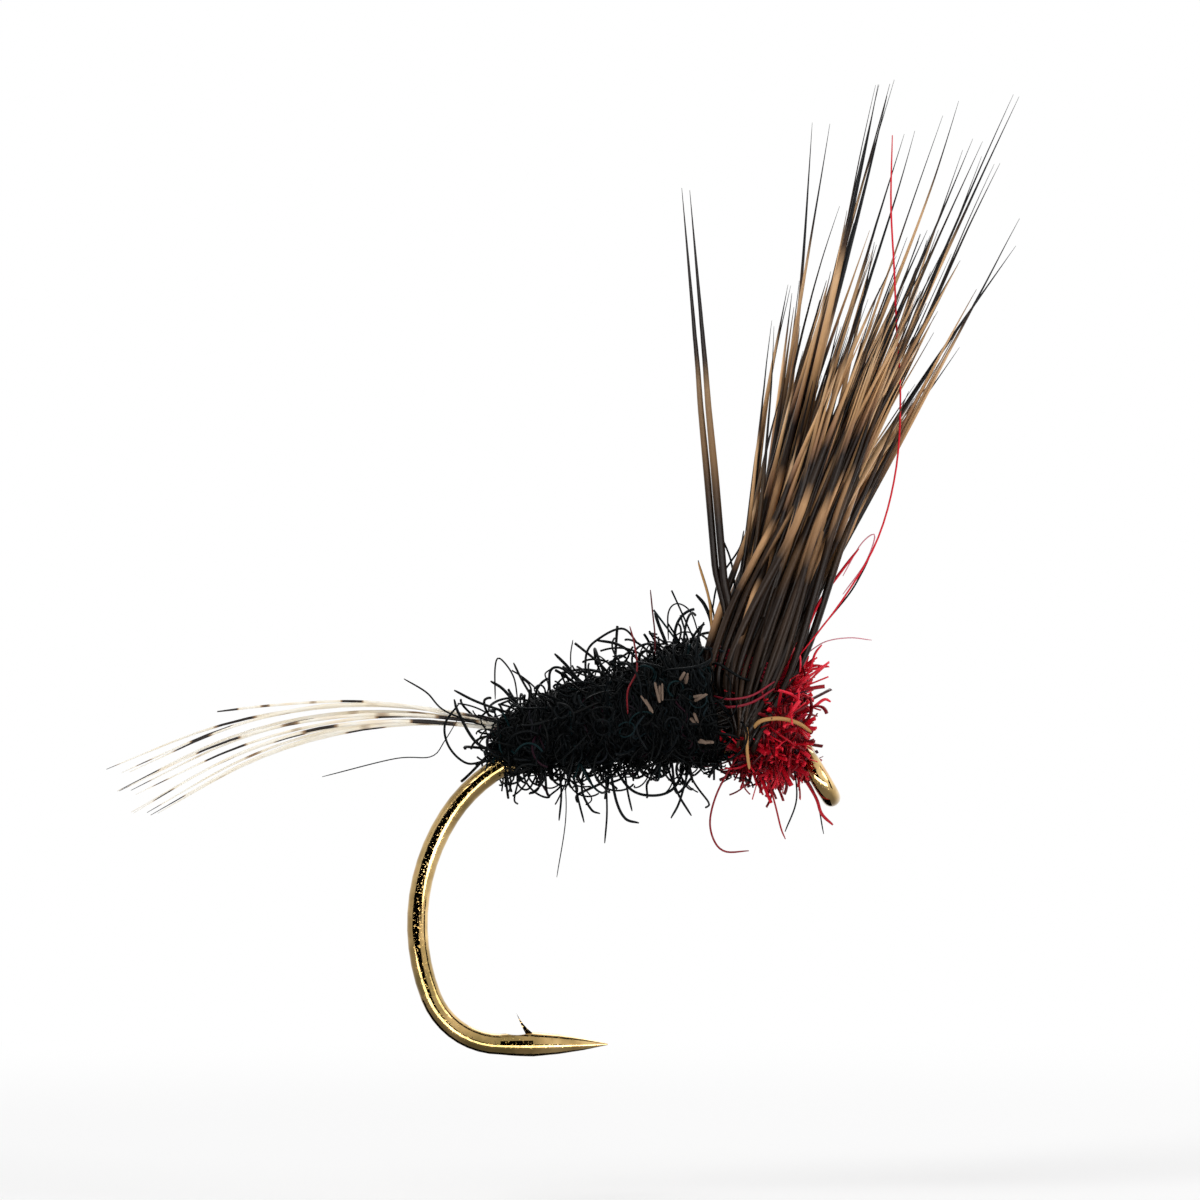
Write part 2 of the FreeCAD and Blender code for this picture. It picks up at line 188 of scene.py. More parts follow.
def wingHair():
    # Animal guard hair: a dull keratin shaft, brown at the base, black and tan in bands by
    # length, with long black tips. Where a band falls differs from hair to hair.
    material, tree = newTree("banded guard hair")
    along = addNode(tree, "ShaderNodeAttribute", {"attribute_name": "along"})
    tone = addNode(tree, "ShaderNodeAttribute", {"attribute_name": "tone"})
    # two more random numbers for each hair, out of its tone
    spread = addNode(tree, "ShaderNodeMath", {"operation": "MULTIPLY"}, {0: (tone, "Fac"), 1: 13.7})
    own = addNode(tree, "ShaderNodeMath", {"operation": "FRACT"}, {0: (spread, "Value")})
    other = addNode(tree, "ShaderNodeMath", {"operation": "MULTIPLY"}, {0: (tone, "Fac"), 1: 41.3})
    dull = addNode(tree, "ShaderNodeMath", {"operation": "FRACT"}, {0: (other, "Value")})
    shift = addNode(tree, "ShaderNodeMapRange", {}, {
        "Value": (own, "Value"), "To Min": -hairSet["shift"], "To Max": hairSet["shift"]})
    moved = addNode(tree, "ShaderNodeMath", {"operation": "ADD"}, {0: (along, "Fac"), 1: (shift, "Result")})
    short = addNode(tree, "ShaderNodeValToRGB", {}, {"Fac": (moved, "Value")}, hairSet["short"])
    long = addNode(tree, "ShaderNodeValToRGB", {}, {"Fac": (moved, "Value")}, hairSet["long"])
    isLong = addNode(tree, "ShaderNodeMath", {"operation": "GREATER_THAN"}, {0: (tone, "Fac"), 1: 0.5})
    banded = addNode(tree, "ShaderNodeMix", {"data_type": "RGBA"}, {
        "Factor": (isLong, "Value"), 6: (short, "Color"), 7: (long, "Color")})
    darker = addNode(tree, "ShaderNodeMapRange", {}, {
        "Value": (dull, "Value"), "From Min": hairSet["dullFrom"][0], "From Max": hairSet["dullFrom"][1],
        "To Max": hairSet["dullMost"]})
    colour = addNode(tree, "ShaderNodeMix", {"data_type": "RGBA"}, {
        "Factor": (darker, "Result"), 6: (banded, 2), 7: hexColour(hairSet["dull"])})
    level = addNode(tree, "ShaderNodeMapRange", {}, {
        "Value": (dull, "Value"), "To Min": hairSet["level"][0], "To Max": hairSet["level"][1]})
    faded = addNode(tree, "ShaderNodeHueSaturation", {}, {"Value": (level, "Result"), "Color": (colour, 2)})
    shader = addNode(tree, "ShaderNodeBsdfPrincipled", {}, {
        "Base Color": (faded, "Color"), "Roughness": hairSet["roughness"],
        "Specular IOR Level": hairSet["specular"]})
    addNode(tree, "ShaderNodeOutputMaterial", {}, {"Surface": (shader, "BSDF")})
    return material


barbSet = {"bars": 8.5,                # lengths along a barb in which a bar may fall
           "colours": [(0.0, "#17120f"), (0.35, "#241a14"), (0.39, "#9a7c5c"), (0.43, "#f7ecd6"),
                       (0.62, "#fdf8ec"), (1.0, "#f6e4c8")],
           "roughness": 0.45, "specular": 0.3}


def tailFibre():
    # Cock hackle barb: translucent cream keratin with short dark bars that fall anywhere
    material, tree = newTree("barred cream hackle")
    along = addNode(tree, "ShaderNodeAttribute", {"attribute_name": "along"})
    tone = addNode(tree, "ShaderNodeAttribute", {"attribute_name": "tone"})
    # each barb starts at its own place in the noise
    start = addNode(tree, "ShaderNodeMath", {"operation": "MULTIPLY"}, {0: (tone, "Fac"), 1: 61.0})
    place = addNode(tree, "ShaderNodeMath", {"operation": "MULTIPLY_ADD"}, {
        0: (along, "Fac"), 1: barbSet["bars"], 2: (start, "Value")})
    bars = addNode(tree, "ShaderNodeTexNoise", {"noise_dimensions": "1D"}, {
        "W": (place, "Value"), "Scale": 1.0, "Detail": 0.0})
    colour = addNode(tree, "ShaderNodeValToRGB", {}, {"Fac": (bars, "Fac")}, barbSet["colours"])
    shader = addNode(tree, "ShaderNodeBsdfPrincipled", {}, {
        "Base Color": (colour, "Color"), "Roughness": barbSet["roughness"],
        "Specular IOR Level": barbSet["specular"]})
    addNode(tree, "ShaderNodeOutputMaterial", {}, {"Surface": (shader, "BSDF")})
    return material


threadSet = {"filaments": 9.0,         # gives lines 0.035 mm apart: real filaments are finer and wouldn't show
             "slant": (0.5, 0.6, 0.4), "ridge": 0.01, "ridgeStrength": 0.4, "roughness": 0.45, "specular": 0.3}


def tyingThread(name, light, grooveShade):
    # Waxed multifilament thread, with the slant of its filaments as fine ridges, and painted shade as fine dark
    # lines in the grooves between them
    material, tree = newTree(name)
    place = addNode(tree, "ShaderNodeTexCoord")
    slant = addNode(tree, "ShaderNodeMapping", {}, {
        "Vector": (place, "Object"), "Rotation": threadSet["slant"]})
    wave = addNode(tree, "ShaderNodeTexWave", {}, {
        "Vector": (slant, "Vector"), "Scale": perMm(threadSet["filaments"]), "Distortion": 2.0})
    # painted shade: the darker colour falls in the grooves, where the bump is low
    colour = addNode(tree, "ShaderNodeValToRGB", {}, {"Fac": (wave, "Fac")}, [(0.1, grooveShade), (0.8, light)])
    bump = addNode(tree, "ShaderNodeBump", {}, {
        "Height": (wave, "Fac"), "Strength": threadSet["ridgeStrength"], "Distance": threadSet["ridge"] * toMetres})
    shader = addNode(tree, "ShaderNodeBsdfPrincipled", {}, {
        "Base Color": (colour, "Color"), "Roughness": threadSet["roughness"],
        "Specular IOR Level": threadSet["specular"], "Normal": (bump, "Normal")})
    addNode(tree, "ShaderNodeOutputMaterial", {}, {"Surface": (shader, "BSDF")})
    return material


cementSet = {"pools": 2.5,             # to the millimetre
             "colours": [(0.35, "#b83440"), (0.65, "#d24c54")], "roughness": (0.03, 0.09),
             "ior": 1.48, "clear": 0.7}


def clearCement():
    # Head cement: a clear glossy varnish that takes the red of the thread under it, deeper
    # where it has run thick
    material, tree = newTree("clear head cement")
    place = addNode(tree, "ShaderNodeTexCoord")
    pools = addNode(tree, "ShaderNodeTexNoise", {}, {
        "Vector": (place, "Object"), "Scale": perMm(cementSet["pools"]), "Detail": 1.0})
    colour = addNode(tree, "ShaderNodeValToRGB", {}, {"Fac": (pools, "Fac")}, cementSet["colours"])
    rough = addNode(tree, "ShaderNodeMapRange", {}, {
        "Value": (pools, "Fac"), "To Min": cementSet["roughness"][0], "To Max": cementSet["roughness"][1]})
    shader = addNode(tree, "ShaderNodeBsdfPrincipled", {}, {
        "Base Color": (colour, "Color"), "Roughness": (rough, "Result"), "IOR": cementSet["ior"],
        "Transmission Weight": cementSet["clear"]})
    addNode(tree, "ShaderNodeOutputMaterial", {}, {"Surface": (shader, "BSDF")})
    return material


hookMetal = bronzedHook()
hairKeratin = wingHair()
hackleBarb = tailFibre()
# each thread's second colour is the painted shade of its grooves
blackThread = tyingThread("black waxed thread", "#23211f", "#0b0a0a")
redThread = tyingThread("red waxed thread", "#c2183a", "#6a0a1e")
cement = clearCement()
# Crimped synthetic dubbing, dyed black with a few teal and wine fibres: it drinks up the light
blackDubbing = fibreMaterial("black crimped dubbing", [
    (0.0, "#020303"), (0.5, "#05080a"), (0.93, "#080d10"), (0.965, "#0c2427"), (0.99, "#210a16")], 0.5, 0.09)
# Flat synthetic dubbing, dyed red with a few near-black fibres: a dull gleam on each flat side
redDubbing = fibreMaterial("red flat dubbing", [
    (0.0, "#3c020a"), (0.30, "#8c0618"), (0.62, "#d20d26"), (0.92, "#ea2c42"), (0.955, "#3a0a1c"),
    (1.0, "#1a0d16")], 0.42, 0.22)
# Silk strands with the dye worn off some of them
palePink = fibreMaterial("worn red silk", [
    (0.3, "#d98a98"), (0.55, "#d07a88"), (0.60, "#7d1626"), (1.0, "#8c2434")], 0.4, 0.2)
# Cut hair, each strand one tan or grey-brown colour by its tone, and it hardly shines
hairButt = fibreMaterial("trimmed hair butts", [
    (0.3, "#b98c58"), (0.42, "#a8804f"), (0.45, "#7d6657"), (1.0, "#655b52")], 0.6, 0.12)
print("materials made")


def unit(vectors):
    # the same vectors, one long
    return vectors / np.maximum(np.linalg.norm(vectors, axis=-1, keepdims=True), 1e-9)


def respace(line, count):
    # the same line with evenly spaced points
    run = np.concatenate([[0], np.cumsum(np.linalg.norm(np.diff(line, axis=0), axis=1))])
    want = np.linspace(0, run[-1], count)
    return np.column_stack([np.interp(want, run, line[:, k]) for k in range(3)])


def curveThrough(points, count):
    # a smooth line (Catmull-Rom) through a few chosen points
    steps = 12
    points = np.array(points, float)
    whole = np.vstack([2 * points[0] - points[1], points, 2 * points[-1] - points[-2]])
    u = np.linspace(0, 1, steps, endpoint=False)[:, None]
    runs = []
    for a, b, c, d in zip(whole, whole[1:], whole[2:], whole[3:]):
        runs.append(0.5 * (2 * b + (c - a) * u + (2 * a - 5 * b + 4 * c - d) * u ** 2
                           + (3 * b - a - 3 * c + d) * u ** 3))
    return respace(np.vstack(runs + [points[-1:]]), count)


def strandPiece(name, lines, radii, tones, material, replaced=(), sides=6, flat=1.0, seed=1):
    # One mesh of tapered strands. lines is (strands, points, 3), radii (strands, points).
    # flat squashes the section to a ribbon, turned at random about each strand. Every point
    # keeps its strand's random tone and how far along the strand it is, for the materials.
    lines = np.asarray(lines, float)
    strands, points = lines.shape[:2]
    radii = np.broadcast_to(radii, (strands, points))
    tangents = unit(np.gradient(lines, axis=1))
    picker = np.random.default_rng(seed)
    normal = picker.normal(size=(strands, 3))
    rings = np.empty((strands, points, sides, 3))
    angles = np.arange(sides) * 2 * math.pi / sides
    for k in range(points):
        t = tangents[:, k]
        normal = unit(normal - t * np.sum(normal * t, axis=1, keepdims=True))
        across = np.cross(t, normal)
        wide = np.cos(angles)[None, :, None] * normal[:, None, :]
        thin = np.sin(angles)[None, :, None] * across[:, None, :] * flat
        rings[:, k] = lines[:, k, None, :] + radii[:, k, None, None] * (wide + thin)
    index = np.arange(strands * points * sides).reshape(strands, points, sides)
    around = np.roll(index, -1, axis=2)
    quads = np.stack([index[:, :-1], around[:, :-1], around[:, 1:], index[:, 1:]], axis=-1).reshape(-1, 4)
    starts, ends = index[:, 0, ::-1], index[:, -1]
    mesh = bpy.data.meshes.new(name)
    mesh.from_pydata((rings.reshape(-1, 3) * toMetres).tolist(), [],
                     quads.tolist() + starts.tolist() + ends.tolist())
    mesh.attributes.new("tone", "FLOAT", "POINT").data.foreach_set(
        "value", np.repeat(np.asarray(tones, float), points * sides))
    mesh.attributes.new("along", "FLOAT", "POINT").data.foreach_set(
        "value", np.tile(np.repeat(np.linspace(0, 1, points), sides), strands))
    layStrips(mesh, strands, points, sides)
    mesh.shade_smooth()
    mesh.materials.append(material)
    addPiece(name, mesh, replaced)


def addPiece(name, mesh, replaced=()):
    # a piece of the fly, in place of the CAD nodes that it stands for
    piece = bpy.data.objects.new(name, mesh)
    bpy.context.scene.collection.objects.link(piece)
    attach(piece, "root")
    if replaced:
        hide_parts(*replaced)


def layStrips(mesh, strands, points, sides):
    # Every strand is an upright strip in its own cell of the bake map, its two ends in the margin
    columns = max(1, math.ceil(math.sqrt(strands * 3)))   # three times as many columns as rows
    rowsUsed = math.ceil(strands / columns)
    margin, domeShare = 0.06, 0.8
    strip = np.arange(strands)
    left, low = (strip % columns) / columns, (strip // columns) / rowsUsed
    acrossSteps = margin + np.arange(sides + 1) / sides * (1 - 2 * margin)
    alongSteps = margin + np.linspace(0, 1, points) * (1 - 2 * margin)
    u = left[:, None] + acrossSteps[None, :] / columns
    v = low[:, None] + alongSteps[None, :] / rowsUsed
    side = np.arange(sides)
    quadU = np.stack([u[:, side], u[:, side + 1], u[:, side + 1], u[:, side]], axis=-1)
    quadU = np.broadcast_to(quadU[:, None], (strands, points - 1, sides, 4))
    quadV = np.stack([v[:, :-1], v[:, :-1], v[:, 1:], v[:, 1:]], axis=-1)
    quadV = np.broadcast_to(quadV[:, :, None], (strands, points - 1, sides, 4))
    dome = margin * domeShare / rowsUsed * np.sin(np.pi * side / (sides - 1))
    capU = u[:, side]
    startUV = np.stack([capU[:, ::-1], v[:, :1] - dome[None, ::-1]], axis=-1)
    endUV = np.stack([capU, v[:, -1:] + dome[None, :]], axis=-1)
    quadUV = np.stack([quadU, quadV], axis=-1)
    flat = np.concatenate([quadUV.reshape(-1), startUV.reshape(-1), endUV.reshape(-1)])
    mesh.uv_layers.new(name="OFBake").data.foreach_set("uv", flat)


def curls(base, heading, bend, length, curvature, points, twist=0.0):
    # Strands that leave base along heading and curl towards bend, with an even curvature
    base, heading, bend = np.array(base), unit(np.array(heading)), np.array(bend)
    step = (np.asarray(length) / (points - 1))[:, None]
    turn = np.asarray(curvature)[:, None] * step
    roll = np.asarray(twist) * step
    lines = [base]
    for _ in range(points - 1):
        bend = unit(bend - heading * np.sum(bend * heading, axis=1, keepdims=True))
        bend = unit(bend + np.cross(heading, bend) * roll)
        heading = unit(heading + bend * turn)
        lines.append(lines[-1] + heading * step)
    return np.stack(lines, axis=1)


def guideLines(node, startScore, count):
    # The centre line of every solid in a node: walk its mesh ring by ring from its start, which
    # is where the score is lowest
    rounding, endReach, endDepth = 4, 0.2, 0.02
    mesh = nodes[node].data
    places = np.empty(len(mesh.vertices) * 3)
    mesh.vertices.foreach_get("co", places)
    merged, back = np.unique(np.round(places.reshape(-1, 3) / toMetres, rounding), axis=0, return_inverse=True)
    ends = np.empty(len(mesh.edges) * 2, int)
    mesh.edges.foreach_get("vertices", ends)
    pairs = back.reshape(-1)[ends].reshape(-1, 2)
    pairs = np.vstack([pairs, pairs[:, ::-1]])

    def walk(reached):
        fresh = np.ones(len(merged), bool)
        rings = []
        while len(reached):
            rings.append(reached)
            fresh[reached] = False
            onward = np.unique(pairs[np.isin(pairs[:, 0], reached), 1])
            reached = onward[fresh[onward]]
        return rings

    score = merged @ np.array(startScore)
    left = np.ones(len(merged), bool)
    lines = []
    while left.any():
        first = np.flatnonzero(left)[np.argmin(score[left])]
        solid = np.concatenate(walk(np.array([first])))
        left[solid] = False
        near = np.linalg.norm(merged[solid] - merged[first], axis=1) < endReach
        rings = walk(solid[near & (score[solid] < score[first] + endDepth)])
        lines.append(respace(np.array([merged[ring].mean(axis=0) for ring in rings]), count))
    return lines


def surfaceOf(node):
    # a node's surface, for rays
    mesh = nodes[node].data
    return BVHTree.FromPolygons([v.co / toMetres for v in mesh.vertices], [p.vertices for p in mesh.polygons])


def skinOf(node, start, end, rings, spokes):
    # How far the node's surface stands from an axis, by place along it and angle round it
    surface = surfaceOf(node)
    axis = unit(np.array(end, float) - np.array(start, float))
    side = unit(np.cross(axis, (0.0, 0.0, 1.0)))
    up = np.cross(side, axis)
    table = np.zeros((rings, spokes))
    reach = 6.0   # rays start outside the surface
    for i, share in enumerate(np.linspace(0, 1, rings)):
        centre = np.array(start) * (1 - share) + np.array(end) * share
        for j in range(spokes):
            angle = j * 2 * math.pi / spokes
            out = side * math.cos(angle) + up * math.sin(angle)
            hit = surface.ray_cast(Vector(centre + out * reach), Vector(-out), reach)
            table[i, j] = reach - hit[3] if hit[0] else 0.0
    return {"start": np.array(start, float), "end": np.array(end, float), "side": side, "up": up, "table": table}


def onSkin(skin, share, angle, height):
    # A point over the skin, and the way out there. share and angle may be arrays of any shape.
    table = skin["table"]
    rings, spokes = table.shape
    row = np.clip(share, 0, 1) * (rings - 1)
    column = (angle / (2 * math.pi) * spokes) % spokes
    r0 = np.minimum(row.astype(int), rings - 2)
    c0 = column.astype(int) % spokes
    c1 = (c0 + 1) % spokes
    fr, fc = row - r0, column - np.floor(column)
    radius = ((table[r0, c0] * (1 - fc) + table[r0, c1] * fc) * (1 - fr)
              + (table[r0 + 1, c0] * (1 - fc) + table[r0 + 1, c1] * fc) * fr)
    out = skin["side"] * np.cos(angle)[..., None] + skin["up"] * np.sin(angle)[..., None]
    centre = skin["start"] + (skin["end"] - skin["start"]) * share[..., None]
    return centre + out * (radius + height)[..., None], out


# Hook, thread and cement keep their CAD shapes
for node, material in (("hook", hookMetal), ("shank_thread_base", blackThread), ("tail_binding", blackThread),
                       ("wing_tie_wraps", blackThread), ("wing_post_wraps", redThread),
                       ("head_whip_finish", redThread), ("head_cement", cement)):
    nodes[node].data.materials.clear()
    nodes[node].data.materials.append(material)
    nodes[node].material_slots[0].material = material
print("wire, thread and cement finished")


# The barbs of the tail
tailSet = {"points": 60, "radius": 0.038, "tipRadius": 0.006,
           "taper": 3,                    # a high power keeps the barb full until near its tip
           "wave": 0.05, "waves": (2, 5), "held": (3, 0.8)}   # held straight where it is tied in


def makeTail():
    names = sorted(n for n in nodes if n.startswith("tail_fibre_"))
    picker = np.random.default_rng(5)
    u = np.linspace(0, 1, tailSet["points"])
    growth, delay = tailSet["held"]
    for number, node in enumerate(names):
        line = guideLines(node, (-1.0, 0.0, 0.0), tailSet["points"])[0]
        sway = np.sin(u * picker.uniform(*tailSet["waves"]) + picker.uniform(0, 6))[:, None] * picker.normal(size=3)
        line = line + sway * tailSet["wave"] * np.clip(u * growth - delay, 0, 1)[:, None]
        radius = tailSet["radius"] * (1 - u ** tailSet["taper"]) + tailSet["tipRadius"]
        strandPiece(f"barred_barb_{number + 1:02d}", [line], [radius], [picker.random()], hackleBarb,
                    [node], seed=number)


makeTail()
print("tail made")


# The hair of the wing, and the last of it, down the outside of the wraps
wingSet = {"points": 64, "radius": (0.044, 0.092), "tipRadius": 0.005,
           "fill": 84, "neighbours": 8, "blend": (0.5, 0.85),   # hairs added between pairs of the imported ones
           "waves": (2, 7), "wave": 0.08, "longWave": 0.13,     # how often and how far a hair sways
           "held": (1.6, 0.45),                                 # and that it is held straight at its root
           "bendFrom": 0.31, "bendPower": 1.25,                 # where hairs start to bend to their clump
           "choosy": 0.9, "spread": 0.11,                       # how loosely hairs choose a clump and meet there
           "denseTop": 9.5, "drop": (0.40, 1.30), "lowDrop": 1.6,   # how far short of its end most of them stop
           "longShare": 0.05, "perTip": 2, "longStout": 0.85,   # the few that reach it
           "shortTones": (0.0, 0.49), "longTones": (0.51, 1.0),
           "strayShift": 0.5, "strayFrom": (0.10, 0.34), "strayStout": 1.1, "strayTones": (0.573, 0.719),
           # where each clump ends
           "tips": [(0.05, 2.3, 14.5), (1.4, -0.6, 15.1), (2.0, 1.6, 14.3), (2.8, -0.3, 14.7), (3.3, 2.4, 14.1),
                    (3.4, -1.2, 13.8), (4.3, -0.4, 15.0), (3.95, -1.5, 13.2), (3.1, 0.9, 11.4), (4.25, -1.0, 11.9),
                    (3.1, 3.3, 9.6), (-1.1, -2.2, 9.9), (1.7, -2.3, 11.2), (2.4, -2.0, 11.7), (0.9, -2.4, 10.4),
                    (0.6, 0.8, 12.2), (-0.7, 0.4, 10.8), (-0.9, -0.8, 8.9)]}
footSet = {"count": 26, "sideFrom": 0.2, "orderAt": 20,         # the guides on a side, and where they are sorted
           "back": 0.30, "wide": 0.30, "loose": 0.06,           # the foot, behind the middle of the wraps
           "high": (0.75, 1.15), "rise": 0.5, "clear": 0.10, "least": 0.3, "tuck": (0.05, 0.35, 0.25),
           "waist": 0.98, "waistLoose": 0.05, "waistRise": 0.1,
           "girth": 1.10, "flat": 0.02, "out": (0.04, 0.28),    # girth is the square of the radius round the wraps
           "join": 0.42, "lean": 0.12, "every": 6}


def hairRadii(count, picker, points):
    # A guard hair is thin at its root, fullest halfway and drawn out to a long fine tip
    root, growth, fullFrom, taperFrom, taperPower = 0.7, 0.3, 0.3, 0.5, 1.2
    u = np.linspace(0, 1, points)
    taper = np.clip(1 - ((u - taperFrom) / (1 - taperFrom)).clip(0) ** taperPower, 0, 1)
    shape = (root + growth * np.clip(u / fullFrom, 0, 1)) * taper
    thick = picker.uniform(*wingSet["radius"], size=count)
    return thick[:, None] * shape[None, :] + wingSet["tipRadius"]


def upTo(line, height):
    # the line as far as a height, but at least half of it
    kept = np.argmax(np.append(line[:, 2], math.inf) >= height)
    return respace(line[:max(kept, len(line) // 2)], len(line))


def bentHair(line, tip, picker, wave):
    # A hair free of the tie sways a little and bends over towards a tip
    line = upTo(line, tip[2])
    u = np.linspace(0, 1, len(line))[:, None]
    late = np.clip((u - wingSet["bendFrom"]) / (1 - wingSet["bendFrom"]), 0, 1)
    growth, delay = wingSet["held"]
    free = np.clip(u * growth - delay, 0, 1)
    sway = np.sin(u * picker.uniform(*wingSet["waves"]) + picker.uniform(0, 6, 3)) * free
    return line + (tip - line[-1]) * late ** wingSet["bendPower"] + sway * wave


def looseHairs(lines, picker):
    # Hairs draw together in clumps, and most of them stop short of their clump's end.
    # The few that reach it have the long black tips.
    tips = np.array(wingSet["tips"])
    loose, tones = [], []
    for line in lines:
        gaps = np.linalg.norm((tips - line[-1])[:, :2], axis=1) + picker.uniform(0, wingSet["choosy"], len(tips))
        tip = tips[np.argmin(gaps)] + picker.normal(size=3) * wingSet["spread"]
        hair = bentHair(line, tip, picker, wingSet["wave"])
        long = picker.random() < wingSet["longShare"]
        if not long:
            drop = picker.uniform(*wingSet["drop"]) * max(tip[2] - wingSet["denseTop"], wingSet["lowDrop"])
            hair = upTo(hair, tip[2] - drop)
        tones.append(picker.uniform(*wingSet["longTones" if long else "shortTones"]))
        loose.append(hair)
    return np.array(loose), tones


def longHairs(pool, picker):
    # The longest hairs of each clump, out to its end
    hairs = []
    for tip in np.array(wingSet["tips"]):
        near = np.argsort(np.linalg.norm((pool[:, -1] - tip)[:, :2], axis=1))[:wingSet["perTip"] + 1]
        for chosen in picker.choice(near, wingSet["perTip"], replace=False):
            end = tip + picker.normal(size=3) * wingSet["spread"]
            hairs.append(bentHair(pool[chosen], end, picker, wingSet["longWave"]))
    return np.array(hairs), picker.uniform(*wingSet["longTones"], len(hairs))


def footHairs(guides, side, outside, picker):
    # Hairs tied in last, down the outside of the wraps: they fan up from a narrow foot
    low, high = boxOf("wing_post_wraps")
    wraps = (low + high) / 2
    order = np.argsort(guides[:, footSet["orderAt"], 0])
    reach = 6.0   # rays start outside the fly
    lines = []
    for number in range(footSet["count"]):
        fore = -1 + 2 * number / (footSet["count"] - 1)
        guide = guides[order[round((fore + 1) / 2 * (len(guides) - 1))]]
        points = len(guide)
        place = wraps[0] - footSet["back"] + fore * footSet["wide"] + picker.normal() * footSet["loose"]
        height = picker.uniform(*footSet["high"]) + footSet["rise"] * abs(fore) * picker.random()
        hits = [surface.ray_cast(Vector((place, side * reach, height)), Vector((0, -side, 0)), 2 * reach)[0]
                for surface in outside]
        out = max([hit.y * side for hit in hits if hit] + [footSet["least"]]) + footSet["clear"]
        foot = np.array([place, side * out, height])
        waist = np.array([wraps[0] + fore * footSet["waist"] + picker.normal() * footSet["waistLoose"], 0,
                          wraps[2] + footSet["waistRise"]])
        girth = math.sqrt(max(footSet["girth"] - (fore * footSet["waist"]) ** 2, footSet["flat"]))
        waist[1] = side * (girth + picker.uniform(*footSet["out"]))
        upper = guide[round(points * footSet["join"]):] + np.array([fore, side, 0]) * footSet["lean"]
        tucked = foot - np.array(footSet["tuck"]) * (1, side, 1)
        lines.append(curveThrough([tucked, foot, waist, *upper[::footSet["every"]], upper[-1]], points))
    return lines


def hairPiece(name, lines, tones, picker, replaced=(), seed=1, stout=1.0):
    radii = hairRadii(len(lines), picker, lines.shape[1]) * stout
    strandPiece(name, lines, radii, tones, hairKeratin, replaced, seed=seed)


def makeWing():
    points = wingSet["points"]
    third = points // 3
    locks = sorted(n for n in nodes if n.startswith("wing_lock_"))
    guides = {node: np.array(guideLines(node, (1.0, 0.0, 1.0), points)) for node in locks}
    pool = np.concatenate([guides[node] for node in locks])
    owner = np.repeat(np.arange(len(locks)), [len(guides[node]) for node in locks])
    picker = np.random.default_rng(40)
    extra = [[] for _ in locks]
    for _ in range(wingSet["fill"]):
        first = picker.integers(len(pool))
        gaps = np.linalg.norm(pool[:, third] - pool[first, third], axis=1)
        second = picker.choice(np.argsort(gaps)[1:wingSet["neighbours"] + 1])
        share = picker.uniform(*wingSet["blend"])
        extra[owner[first]].append(pool[first] * share + pool[second] * (1 - share))
    for number, node in enumerate(locks):
        lines, tones = looseHairs(list(guides[node]) + extra[number], picker)
        hairPiece(node.replace("wing_lock", "hair"), lines, tones, picker, [node], seed=number)
    lines, tones = longHairs(pool, picker)
    hairPiece("hair_long", lines, tones, picker, seed=57, stout=wingSet["longStout"])
    strays = np.array(guideLines("wing_stray_hairs", (1.0, 0.0, 1.0), points))
    first, last = wingSet["strayFrom"]
    ramp = np.clip((np.linspace(0, 1, points) - first) / (last - first), 0, 1)
    strays[:, :, 0] -= wingSet["strayShift"] * ramp
    hairPiece("hair_stray", strays, wingSet["strayTones"], picker, ["wing_stray_hairs"],
              stout=wingSet["strayStout"])
    outside = [surfaceOf(node) for node in ("body_dubbing", "thorax_dubbing", "wing_post_wraps")]
    for side, word in ((-1, "near"), (1, "far")):
        chosen = pool[pool[:, third, 1] * side > footSet["sideFrom"]]
        lines, tones = looseHairs(footHairs(chosen, side, outside, picker), picker)
        hairPiece(f"hair_foot_{word}", lines, tones, picker, seed=60 + side)


makeWing()
print("wing made")


# The dubbing: its core, how its fibres lie, the body and the thorax
coreSet = {"rings": 150, "spokes": 180, "ridge": 12, "ridgeHeight": 0.018, "depth": 0.06, "leastRadius": 0.2}
layingSet = {"phase": (0, 6), "wander": (0.003, 0.02), "wanderWaves": (6, 40), "slopeSpread": 0.02,
             "ripple": 0.03, "rippleWaves": (10, 50), "tuck": 0.12, "tuckPower": 6,
             "crimpedRoot": (-0.06, 0.02), "crimpedLoose": 1.2, "crimpedTwist": 2, "looseRoot": -0.09,
             "looseShare": (0.5, 1.0)}
bodySet = {"axis": (0.55, 1.35), "ends": 0.05, "rings": 90, "spokes": 72,   # the axis's heights, rear and front
           "inset": 0.10, "insetBelow": 0.38, "insetRear": 0.32, "rearShare": 0.2,
           "coreTones": (0.2, 0.8), "fineRadius": (0.016, 0.028), "looseRadius": (0.017, 0.034),
           "woundPoints": 40, "points": 22,
           # wound and crimped fibres are made in two halves, and these are the counts of one
           "wound": {"count": 450, "slope": 0.012, "heights": (-0.02, 0.07), "reach": (0.9, 3.0)},
           "crimped": {"count": 750, "length": (0.5, 1.5), "lift": (-0.1, 0.5), "curl": (2.0, 7.0)},
           "loose": {"count": 150, "length": (0.4, 1.6), "curl": (0.0, 1.2), "spread": 0.45, "lean": (-0.3, 0, 0)},
           "loops": {"count": 170, "length": (1.0, 2.6), "curl": (1.3, 3.0), "spread": 0.5, "lean": (-0.1, 0, 0)}}
